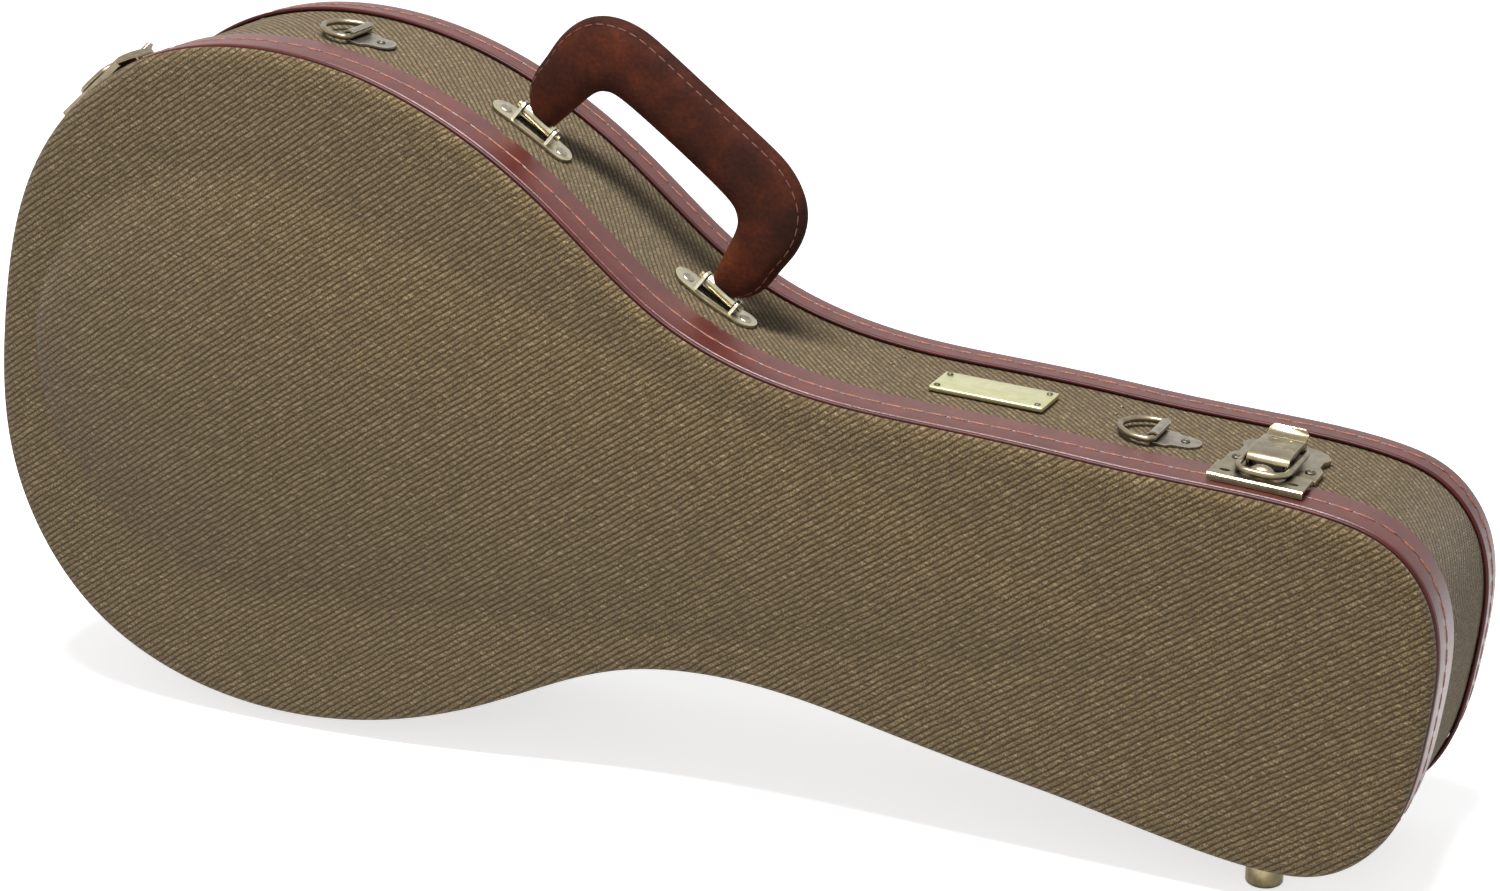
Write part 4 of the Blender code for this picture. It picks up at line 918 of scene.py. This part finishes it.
def plush():
    """Short wine plush with brushed streaks."""
    made, tree, shader = blank("wine_plush", 0.9, Sheen_Weight=0.9, Sheen_Roughness=0.35,
                               Sheen_Tint=srgb(190, 80, 80))
    marks = grouped(tree, MOTTLE, Scale=28.0)
    tone = ramp(tree, marks.outputs["Broad"], (0.3, srgb(64, 18, 20)), (0.7, srgb(82, 26, 26)))
    tree.links.new(tone, shader.inputs["Base Color"])
    bump(tree, shader, marks.outputs["Fine"], 0.0009, 0.7)
    return made


def thread(name, light, dark):
    """Twisted sewing thread."""
    made, tree, shader = blank(name, 0.65)
    place = add(tree, "ShaderNodeTexCoord").outputs["Object"]
    twist = add(tree, "ShaderNodeTexNoise", {"Vector": place, "Scale": 900.0})
    tone = ramp(tree, twist.outputs["Fac"], (0.35, dark), (0.65, light))
    tree.links.new(tone, shader.inputs["Base Color"])
    return made


# The last value sets how far the painted shade darkens the gaps between the yarns.
FACE_TWEED = tweed("face_tweed", math.radians(-42.0), 0.0027, 0.0012, 0.90)
WALL_TWEED = tweed("wall_tweed", math.radians(43.0), 0.0028, 0.0014, 0.94)
BAND_LEATHER = leather("band_leather", srgb(80, 36, 30), srgb(64, 27, 23), 0.36)
PIPING_LEATHER = leather("piping_leather", srgb(66, 18, 14), srgb(46, 12, 9), 0.42, grain=0.00003,
                         gleam=0.22)
HANDLE_SUEDE = suede()
ANTIQUE_BRASS = metal("antique_brass", srgb(150, 140, 116), srgb(122, 112, 92), srgb(196, 180, 126), 0.30)
FOOT_BRASS = metal("foot_brass", srgb(140, 128, 98), srgb(106, 96, 72), srgb(196, 182, 136), 0.28)
PALE_METAL = metal("pale_metal", srgb(196, 188, 162), srgb(168, 158, 132), srgb(236, 230, 208), 0.30)
NICKEL = metal("nickel_plate", srgb(160, 154, 142), srgb(132, 124, 110), srgb(210, 206, 192), 0.34)
PALE_BRASS = metal("pale_brass", srgb(216, 214, 170), srgb(198, 195, 148), srgb(238, 238, 210), 0.32)
DARK_RIVET = metal("dark_rivet", srgb(104, 98, 84), srgb(66, 60, 48), srgb(160, 154, 134), 0.38)
PLUSH = plush()
TONGUE_CLOTH = leather("tongue_cloth", srgb(60, 24, 22), srgb(46, 16, 16), 0.8)
RIBBON = leather("pull_ribbon", srgb(78, 26, 24), srgb(60, 18, 18), 0.6, 300.0)
BAND_THREAD = thread("band_thread", srgb(142, 88, 68), srgb(94, 54, 42))
HANDLE_THREAD = thread("handle_thread", srgb(94, 44, 22), srgb(60, 27, 13))


# Shells

def tweed_wall(name, span, body, node):
    """Straight wall between two depths."""
    near, far = span
    wall = swept(name, [(SKIN, near), (INNER, near), (INNER, far), (SKIN, far)])
    wall_map(wall)
    dress(wall, WALL_TWEED, body, "tweed", node)


def tweed_shells():
    """Both walls, the back, the arched face and the lid's padding."""
    tweed_wall("tweed_body_wall", BODY_WALL, "case", "body_wall")
    tweed_wall("tweed_lid_wall", LID_WALL, "lid", "lid_wall")
    rear = DEPTH - PANEL - 0.0005
    back = swept("tweed_back", [(SHOULDER_WIDTH, rear), (SKIN, rear)] + rounded(BACK_EDGE, 4), closed=False)
    face_map(back)
    dress(back, FACE_TWEED, "case", "tweed", "back_panel")
    rim = rounded(FACE_EDGE, 4)[1:] + [(SKIN, PANEL + 0.0005)]
    face = arched("tweed_face", -SHOULDER, rim, FACE_SHEET)
    face_map(face)
    dress(face, FACE_TWEED, "lid", "tweed", "lid_top")
    lining = arched("lid_padding", PANEL - SHOULDER + 0.0008, [], PADDING_SHEET)
    dress(lining, PLUSH, "lid", "plush", "lid_lining")


def round_ring(inset, w, radius, sides=12):
    """Section of a round cord about an inset and depth."""
    return [(inset + radius * math.cos(2.0 * math.pi * k / sides),
             w + radius * math.sin(2.0 * math.pi * k / sides)) for k in range(sides)]


def leather_bands():
    """Both bands with their piping, and the lip that the lid closes over."""
    for name, section, finish, angle, body, slot, node in (
            ("leather_lid_band", LID_BAND, BAND_LEATHER, 22, "lid", "band_leather", "lid_band"),
            ("leather_back_band", BACK_BAND, BAND_LEATHER, 22, "case", "band_leather", "back_band"),
            ("leather_lid_piping", round_ring(*LID_PIPING), PIPING_LEATHER, 60, "lid", "piping_leather",
             "lid_piping"),
            ("leather_back_piping", round_ring(*BACK_PIPING), PIPING_LEATHER, 60, "case",
             "piping_leather", "back_piping"),
            ("closing_lip", CLOSING_LIP, TONGUE_CLOTH, 35, "case", "tongue_cloth", "closing_tongue")):
        dress(swept(name, section, angle=angle), finish, body, slot, node)


def one_stitch(length, width, height):
    """One stitch: a small rounded bar along x."""
    stitch = fresh("one_stitch", bpy.ops.mesh.primitive_uv_sphere_add, segments=8, ring_count=8, radius=0.5)
    stitch.data.transform(Matrix.Rotation(math.radians(90.0), 4, "Y"))
    for vertex in stitch.data.vertices:
        x = vertex.co.x * 2.0
        vertex.co.x = math.copysign(abs(x) ** 0.6, x) * length / 2.0
        vertex.co.y *= width
        vertex.co.z *= height
    return stitch


def seam(name, w, body):
    """A line of stitches in a band's groove, round the whole case."""
    draw = random.Random(5)
    count = round(2.0 * outline.half / STITCH_PITCH)
    places = []
    for i in range(count):
        sway = draw.uniform(-STITCH_SWAY, STITCH_SWAY)
        place = wall_frame(2.0 * outline.half * (i + 0.5) / count, w + sway)
        turn = STITCH_SLANT + draw.uniform(-STITCH_SLANT, STITCH_SLANT)
        slant = Matrix.Rotation(math.radians(turn), 4, "Z")
        stretch = Matrix.Diagonal((draw.uniform(0.92, 1.06), 1.0, 1.0, 1.0))
        places.append(place @ slant @ stretch)
    stitches = gather(name, one_stitch(*BAND_STITCH), places)
    dress(stitches, BAND_THREAD, body, "band_leather")


# Handle

def grip_path():
    """Middle line of the grip with its width and thickness, from one leg to the other."""
    pins = [sum(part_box(f"handle_pin_{n}"), Vector()) / 2.0 for n in (1, 2)]
    half = (pins[1] - pins[0]).length / 2.0
    side = [(half + shift, height, width, thick) for height, shift, width, thick in GRIP_LEG]
    turns = len(GRIP_BEND) - 1
    for i, width in enumerate(GRIP_BEND):
        turn = math.pi / 2.0 * i / turns
        side.append((GRIP_CENTRE[0] + GRIP_RADIUS * math.cos(turn),
                     GRIP_CENTRE[1] + GRIP_RADIUS * math.sin(turn), width, GRIP_THICKNESS))
    side.append((GRIP_CENTRE[0] / 3.0, GRIP_CENTRE[1] + GRIP_RADIUS, GRIP_BEND[-1], GRIP_THICKNESS))
    return rounded(side + [(-a, *rest) for a, *rest in side[::-1]], 5)


def grip_across(path, i):
    """Way out from the grip's middle line, in the plane of the handle."""
    if i in (0, len(path) - 1):
        return Vector((1.0 if i == 0 else -1.0, 0.0))
    ahead = Vector(path[i + 1][:2]) - Vector(path[i - 1][:2])
    return Vector((ahead.y, -ahead.x)).normalized()


def grip_height(share, thick):
    """Half thickness of the grip at a share of its half width, sunk along the seam."""
    full = thick / 2.0 * math.sqrt(max(0.0, 1.0 - abs(share) ** GRIP_FULLNESS))
    sunk = GRIP_SEAM_DEPTH * math.exp(-((share - GRIP_SEAM) / GRIP_SEAM_WIDTH) ** 2)
    return max(full - sunk, 0.0)


def eased_rings(rings, rounds):
    """The rings' points, eased along the grip."""
    shape = np.array(rings)
    for _ in range(rounds):
        shape[1:-1] = (shape[:-2] + 2.0 * shape[1:-1] + shape[2:]) / 4.0
    return shape


def grip_rings(place, path):
    """Rings round the grip, eased more along the inner side of its bends."""
    rings = []
    for i, (a, r, width, thick) in enumerate(path):
        across = grip_across(path, i)
        ring = []
        for k in range(GRIP_SIDES):
            turn = 2.0 * math.pi * k / GRIP_SIDES
            share = math.copysign(abs(math.cos(turn)) ** GRIP_CORNERS, math.cos(turn))
            y = math.copysign(grip_height(share, thick), math.sin(turn))
            out = across * (width / 2.0 * share)
            ring.append(place @ Vector((a + out.x, y, r + out.y)))
        rings.append(ring)
    outer, inner = (eased_rings(rings, rounds) for rounds in GRIP_EASING)
    turns = np.arange(GRIP_SIDES) * 2.0 * math.pi / GRIP_SIDES
    inward = np.clip(0.5 - np.cos(turns), 0.0, 1.0)[None, :, None]
    return [[Vector(point) for point in ring] for ring in outer + (inner - outer) * inward]


def handle():
    """Suede grip with its stitches, its end straps and the two plates that carry it."""
    place = joint_frame("handle_swing")
    path = grip_path()
    grip = lofted("suede_grip", grip_rings(place, path), angle=50)
    dress(grip, HANDLE_SUEDE, "handle", "handle_suede", "handle_grip")
    stitches = gather("grip_stitches", one_stitch(*GRIP_STITCH), grip_seam(place, path))
    dress(stitches, HANDLE_THREAD, "handle", "handle_suede")
    for number in (1, 2):
        strap = eased(f"handle_strap_{number}", f"grip_strap_{number}", 0.0003)
        dress(strap, PALE_METAL, "handle", "antique_brass", f"handle_strap_{number}")
        plate = eased(f"handle_plate_{number}", f"grip_plate_{number}", 0.0004)
        dress(plate, PALE_METAL, "case", "antique_brass", f"handle_plate_{number}")
    places = [wall_frame(outline.length_at(station) + side * PLATE_RIVET, HANDLE_DEPTH, -0.0002)
              for station in PLATE_STATIONS for side in (-1, 1)]
    rivets = gather("grip_plate_rivets", rivet(*PLATE_RIVET_HEAD), places)
    dress(rivets, NICKEL, "case", "antique_brass")


def grip_seam(place, path):
    """Places of the stitches along the grip's outer edge, on both faces."""
    line = []
    for i, (a, r, width, thick) in enumerate(path):
        out = grip_across(path, i) * (width / 2.0 * GRIP_SEAM)
        line.append((a + out.x, grip_height(GRIP_SEAM, thick), r + out.y))
    line = np.array(line)
    steps = np.linalg.norm(np.diff(line, axis=0), axis=1)
    lengths = np.concatenate([[0.0], np.cumsum(steps)])
    count = round(lengths[-1] / GRIP_STITCH_PITCH)
    places = []
    for i in range(count):
        start, end = (np.array([np.interp(lengths[-1] * (i + share) / count, lengths, line[:, k])
                                for k in range(3)]) for share in (0.3, 0.7))
        for face in (-1.0, 1.0):
            mirror = np.array((1.0, face, 1.0))
            x = Vector((end - start) * mirror).normalized()
            z = Vector((0.0, face, 0.0))
            made = Matrix((x, z.cross(x).normalized(), z)).transposed().to_4x4()
            made.translation = Vector((start + end) / 2.0 * mirror)
            places.append(place @ made)
    return places


# Hardware

def strap_ring(number):
    """D ring, its folded clip and the clip's rivet."""
    node = frame["nodes"][f"ring_{number}"]
    points = np.array([v.co[:] for v in node.data.vertices])
    outward = Vector(np.linalg.svd(points - points.mean(axis=0), full_matrices=False)[2][2])
    outward = outward if outward.z > 0.0 else -outward
    place = Matrix((BACKWARDS.cross(outward), BACKWARDS, outward)).transposed().to_4x4()
    joint = next(j for j in frame["joints"] if j["name"] == f"ring_{number}_swing")
    place.translation = Vector(joint["pos_m"]) - outward * RING_RISE
    loop = [(x, y, RING_RISE) for x, y in RING_PATH] + [(x, -y, RING_RISE) for x, y in RING_PATH[::-1]]
    path = [place @ Vector(p) for p in rounded(loop, 6, closed=True)]
    ring = wire(f"strap_ring_{number}", path, RING_WIRE, closed=True)
    dress(ring, ANTIQUE_BRASS, f"d_ring_{number}", "antique_brass", f"ring_{number}")
    clip = folded_clip(f"strap_clip_{number}", place)
    dress(clip, NICKEL, "case", "nickel_plate", f"ring_clip_{number}")
    top = place @ Matrix.Translation((CLIP_RIVET, 0.0, CLIP_LIFT + CLIP_SHEET))
    head = gather(f"clip_rivet_{number}", rivet(*CLIP_RIVET_HEAD), [top])
    dress(head, DARK_RIVET, "case", "nickel_plate")


def clip_line():
    """Middle line of the clip from the tail's tip round the fold, with its half width at each point."""
    base = CLIP_LIFT + CLIP_SHEET / 2.0
    reach = RING_WIRE + CLIP_SLACK + CLIP_SHEET / 2.0
    fold = [(reach * math.cos(math.radians(t)), RING_RISE + reach * math.sin(math.radians(t)))
            for t in range(-90, -316, -15)]
    tail = [CLIP_TAIL - CLIP_END + CLIP_END * math.sin(math.radians(t)) for t in range(88, -1, -8)]
    line = [(x, base) for x in (*tail, *CLIP_FLAT)]
    line += [(0.0044, base - 0.0002), (0.0030, (base + fold[0][1]) / 2.0)]
    halves = []
    for x, _ in line:
        if x > CLIP_TAIL - CLIP_END:
            halves.append(math.sqrt(max(1e-8, CLIP_END ** 2 - (x - CLIP_TAIL + CLIP_END) ** 2)))
        else:
            halves.append(float(np.interp(x, CLIP_NECK, (CLIP_HALF, CLIP_NECK_HALF, CLIP_END))))
    return line + fold, halves + [CLIP_HALF] * len(fold)


def folded_clip(name, place):
    """A strip folded round the ring's bar, its tail tapered to a round end."""
    line, halves = clip_line()
    clip = fresh(name, bpy.ops.mesh.primitive_grid_add, x_subdivisions=len(line) - 1, y_subdivisions=8,
                 size=1.0)
    for vertex in clip.data.vertices:
        i = round((vertex.co.x + 0.5) * (len(line) - 1))
        vertex.co = place @ Vector((line[i][0], vertex.co.y * 2.0 * halves[i], line[i][1]))
    clip.data.update()
    apply_modifier(clip, "SOLIDIFY", thickness=CLIP_SHEET, offset=0.0)
    bevelled(clip, 0.0002, 2, 50)
    only(clip)
    bpy.ops.object.mode_set(mode="EDIT")
    bpy.ops.mesh.select_all(action="SELECT")
    bpy.ops.mesh.normals_make_consistent(inside=False)
    bpy.ops.object.mode_set(mode="OBJECT")
    smooth(clip, 40)
    return clip


def block(size, place):
    """Box cutter."""
    made = fresh("cutter", bpy.ops.mesh.primitive_cube_add, size=1.0)
    made.data.transform(place @ Matrix.Diagonal((*size, 1.0)))
    return made


def ball(size, place, segments=24):
    """Ellipsoid, used as a cutter and as the hook's dome."""
    made = fresh("ball", bpy.ops.mesh.primitive_uv_sphere_add, segments=segments,
                 ring_count=segments // 2, radius=1.0)
    made.data.transform(place @ Matrix.Diagonal((*size, 1.0)))
    return made


def draw_catch(number, place):
    """Bent catch plate with two holes and the domed hook, on the lid."""
    rings = [[place @ Vector((x, y, z)) for y, z in CATCH_SECTION] for x in (-LATCH_HALF, LATCH_HALF)]
    catch = lofted(f"draw_catch_{number}", rings)
    for side in (-1, 1):
        hole = Matrix.Translation((side * CATCH_HOLE[0], CATCH_HOLE[1], CATCH_SECTION[2][1]))
        cut(catch, ball(CATCH_HOLE_SIZE, place @ hole))
    bevelled(catch, 0.0005, 3, 30)
    smooth(catch, 40)
    dress(catch, ANTIQUE_BRASS, "lid", "antique_brass", f"latch_catch_{number}")
    dome = ball(HOOK_SIZE, place @ Matrix.Translation((0.0, *HOOK_DOME)))
    dome.name = f"hook_dome_{number}"
    smooth(dome, 60)
    dress(dome, ANTIQUE_BRASS, "lid", "antique_brass")


def draw_plate(number, place):
    """Body plate and its two screws."""
    plate = eased(f"latch_plate_{number}", f"draw_plate_{number}", 0.0004)
    dress(plate, ANTIQUE_BRASS, "case", "antique_brass", f"latch_plate_{number}")
    places = [place @ Matrix.Translation((side * PLATE_SCREW[0], *PLATE_SCREW[1:])) for side in (-1, 1)]
    screws = gather(f"plate_screws_{number}", rivet(*PLATE_SCREW_HEAD), places)
    dress(screws, DARK_RIVET, "case", "antique_brass")


def draw_lever(number, place):
    """Lever with a crease, two dimples and a tab with rounded corners."""
    lever = copy_of(f"latch_lever_{number}", f"draw_lever_{number}")
    tab_turn = Matrix.Rotation(TAB_TURN, 4, "X") @ Matrix.Rotation(math.radians(45.0), 4, "Z")
    cut(lever, block(CREASE_SIZE, place @ Matrix.Translation((0.0, *CREASE))))
    for side in (-1, 1):
        dimple = Matrix.Translation((side * DIMPLE[0], *DIMPLE[1:]))
        cut(lever, ball(DIMPLE_SIZE, place @ dimple, 12))
        corner = Matrix.Translation((side * TAB_CORNER[0], *TAB_CORNER[1:]))
        cut(lever, block(TAB_CUT, place @ corner @ tab_turn))
    bevelled(lever, 0.0004, 2, 35)
    smooth(lever, 40)
    dress(lever, ANTIQUE_BRASS, f"lever_{number}", "antique_brass", f"latch_lever_{number}")


def draw_bail(number, place):
    """Wire bail from the lever's sides round the hook."""
    run = BAIL_ARM[0][1] - BAIL_ARM[-1][1]
    arm = [(x, y, BAIL_HEIGHTS[0] + (BAIL_ARM[0][1] - y) / run * (BAIL_HEIGHTS[1] - BAIL_HEIGHTS[0]))
           for x, y in BAIL_ARM]
    path = [place @ Vector(p) for p in rounded(arm + [(-x, y, z) for x, y, z in arm[::-1]], 6)]
    bail = wire(f"draw_bail_{number}", path, BAIL_WIRE)
    dress(bail, ANTIQUE_BRASS, f"bail_{number}", "antique_brass", f"latch_bail_{number}")


def draw_latch(number):
    """Catch with its hook on the lid; plate, screws, lever and wire bail on the body."""
    to_latch = Matrix.Translation((0.0, -LEVER_AXIS[0], -LEVER_AXIS[1]))
    place = joint_frame(f"lever_{number}_swing") @ to_latch
    for make in (draw_catch, draw_plate, draw_lever, draw_bail):
        make(number, place)


def stand_foot(name):
    """Round foot with a softened lower edge, cut to the wall above it."""
    low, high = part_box(name)
    top = max(frame["nodes"][name].data.polygons, key=lambda face: face.center.z)
    piece = fresh(name.replace("foot", "stud"), bpy.ops.mesh.primitive_cylinder_add, vertices=64,
                  radius=(high.x - low.x) / 2.0, depth=high.z - low.z, location=(low + high) / 2.0)
    bpy.ops.object.transform_apply(location=True, rotation=True, scale=True)
    bpy.ops.object.mode_set(mode="EDIT")
    bpy.ops.mesh.select_all(action="SELECT")
    bpy.ops.mesh.bisect(plane_co=top.center, plane_no=top.normal, use_fill=True, clear_outer=True)
    bpy.ops.object.mode_set(mode="OBJECT")
    bevelled(piece, 0.0016, 4, 60)
    smooth(piece, 40)
    dress(piece, FOOT_BRASS, "lid" if name == "head_foot_1" else "case", "antique_brass", name)


def hardware():
    """Rings, latches, hinges, feet, the bare plate and the nails."""
    for number in (1, 2):
        strap_ring(number)
        draw_latch(number)
        for leaf, body in (("body", "case"), ("lid", "lid")):
            plate = eased(f"hinge_{leaf}_leaf_{number}", f"hinge_{leaf}_plate_{number}", 0.0002)
            dress(plate, FOOT_BRASS, body, "antique_brass", f"hinge_{leaf}_leaf_{number}")
    for name in ("bulge_foot_1", "bulge_foot_2", "head_foot_1", "head_foot_2"):
        stand_foot(name)
    plate = eased("nameplate", "bare_plate", 0.0006, 3)
    dress(plate, PALE_BRASS, "case", "pale_brass", "nameplate")
    middle = wall_frame(outline.length_at(NAMEPLATE_PLACE[0]), NAMEPLATE_PLACE[1], -0.0013)
    x, y = NAMEPLATE_RIVET
    places = [middle @ Matrix.Translation((a * x, b * y, 0.0)) for a in (-1, 1) for b in (-1, 1)]
    rivets = gather("bare_plate_rivets", rivet(*NAMEPLATE_RIVET_HEAD), places)
    dress(rivets, DARK_RIVET, "case", "pale_brass")
    places = [wall_frame(outline.length_at(u), w, SKIN) for u, w in NAILS]
    dress(gather("wall_nails", rivet(*NAIL_HEAD), places), DARK_RIVET, "case", "antique_brass")


# Inside of the case

def near_wall(places):
    """Share from 0 at the wall to 1 well inside it, for points of the padding."""
    rim = np.vstack([outline.points, outline.points * (1.0, -1.0)])[::6]
    share = []
    for place in places:
        point = Vector(place)
        flat = np.array((point.dot(ALONG) - outline.start, point.dot(ACROSS) - outline.middle))
        gap = float(np.min(np.linalg.norm(rim - flat, axis=1)))
        side = min(1.0, max(0.0, (gap - WALL_HOLD) / WALL_FADE))
        depth = min(1.0, max(0.0, (FRONT + DEPTH - PANEL - WALL_FADE - point.y) / WALL_FADE))
        share.append(side * depth)
    return np.array(share)


def inside():
    """Padded bed, neck cradle and the accessory box with its lid and pull."""
    bed = soft_copy("padded_bed", "bed_cushion", BED_VOXEL)
    swell(bed, BED_PRESSURE, BED_SWELL, near_wall)
    apply_modifier(bed, "SUBSURF", levels=1, render_levels=1)
    smooth(bed, 70)
    dress(bed, PLUSH, "case", "plush", "padded_bed")
    cradle = soft_copy("neck_cradle", "neck_cushion", CRADLE_VOXEL)
    dress(cradle, PLUSH, "case", "plush", "neck_cradle")
    box = eased("accessory_box", "string_box", 0.0009)
    dress(box, PLUSH, "case", "plush", "accessory_box")
    lid = eased("accessory_lid", "string_box_lid", 0.0006)
    dress(lid, PLUSH, "box_lid", "plush", "accessory_lid")
    pull = eased("accessory_pull", "ribbon_pull", 0.0002)
    dress(pull, RIBBON, "box_lid", "pull_ribbon", "accessory_pull")


def plain_nodes():
    """CAD nodes whose shape is right get their finish."""
    for node in frame["nodes"].values():
        if not node.hide_render:
            node.data.materials.clear()
            node.data.materials.append(ANTIQUE_BRASS)


# Stage

def camera():
    """Camera at the photograph's view."""
    lens = bpy.data.cameras.new("camera")
    lens.lens = CAMERA_LENS
    lens.shift_x, lens.shift_y = CAMERA_SHIFT
    eye = bpy.data.objects.new("camera", lens)
    bpy.context.collection.objects.link(eye)
    eye.rotation_mode = "QUATERNION"
    turn = Vector(CAMERA_WAY).to_track_quat("-Z", "Y")
    roll = Matrix.Rotation(CAMERA_ROLL, 3, Vector((0.0, 0.0, 1.0))).to_quaternion()
    eye.rotation_quaternion = turn @ roll
    eye.location = CAMERA_PLACE
    bpy.context.scene.camera = eye


def lamp(name, place, size, power):
    """Soft area lamp that looks at the case."""
    light = bpy.data.lights.new(name, "AREA")
    light.shape = "RECTANGLE"
    light.size, light.size_y = size
    light.energy = power
    item = bpy.data.objects.new(name, light)
    bpy.context.collection.objects.link(item)
    item.location = place
    item.rotation_mode = "QUATERNION"
    item.rotation_quaternion = (Vector(LAMP_TARGET) - Vector(place)).to_track_quat("-Z", "Y")


def background_rays(tree):
    """Mask of the rays that see the plain background: from the camera, through glass or off metal."""
    path = add(tree, "ShaderNodeLightPath")
    seen = maths(tree, "MAXIMUM", path.outputs["Is Camera Ray"], path.outputs["Is Transmission Ray"])
    return maths(tree, "MAXIMUM", seen, path.outputs["Is Glossy Ray"])


def stage():
    """Plain pale floor, white background and the lamps."""
    floor = fresh("studio_floor", bpy.ops.mesh.primitive_circle_add, vertices=64, radius=6.0,
                  fill_type="NGON")
    made, tree, shader = blank("floor_paper", 0.9, Specular_IOR_Level=0.1, Emission_Color=WHITE,
                               Base_Color=(FLOOR_WHITE, FLOOR_WHITE, FLOOR_WHITE, 1.0))
    glow = maths(tree, "MULTIPLY", background_rays(tree), FLOOR_GLOW)
    tree.links.new(glow, shader.inputs["Emission Strength"])
    floor.data.materials.append(made)
    world = bpy.data.worlds.new("studio")
    bpy.context.scene.world = world
    world.use_nodes = True
    tree = world.node_tree
    level = add(tree, "ShaderNodeMix", {0: background_rays(tree), 2: ROOM_LIGHT, 3: 1.0})
    tree.links.new(level.outputs[0], tree.nodes["Background"].inputs["Strength"])
    tree.nodes["Background"].inputs["Color"].default_value = WHITE
    for name, place, size, power in LAMPS:
        lamp(name, place, size, power)


camera()
tweed_shells()
leather_bands()
seam("lid_band_stitches", LID_SEAM, "lid")
seam("back_band_stitches", BACK_SEAM, "case")
handle()
hardware()
inside()
plain_nodes()
stage()

bpy.context.scene.view_settings.view_transform = "Standard"
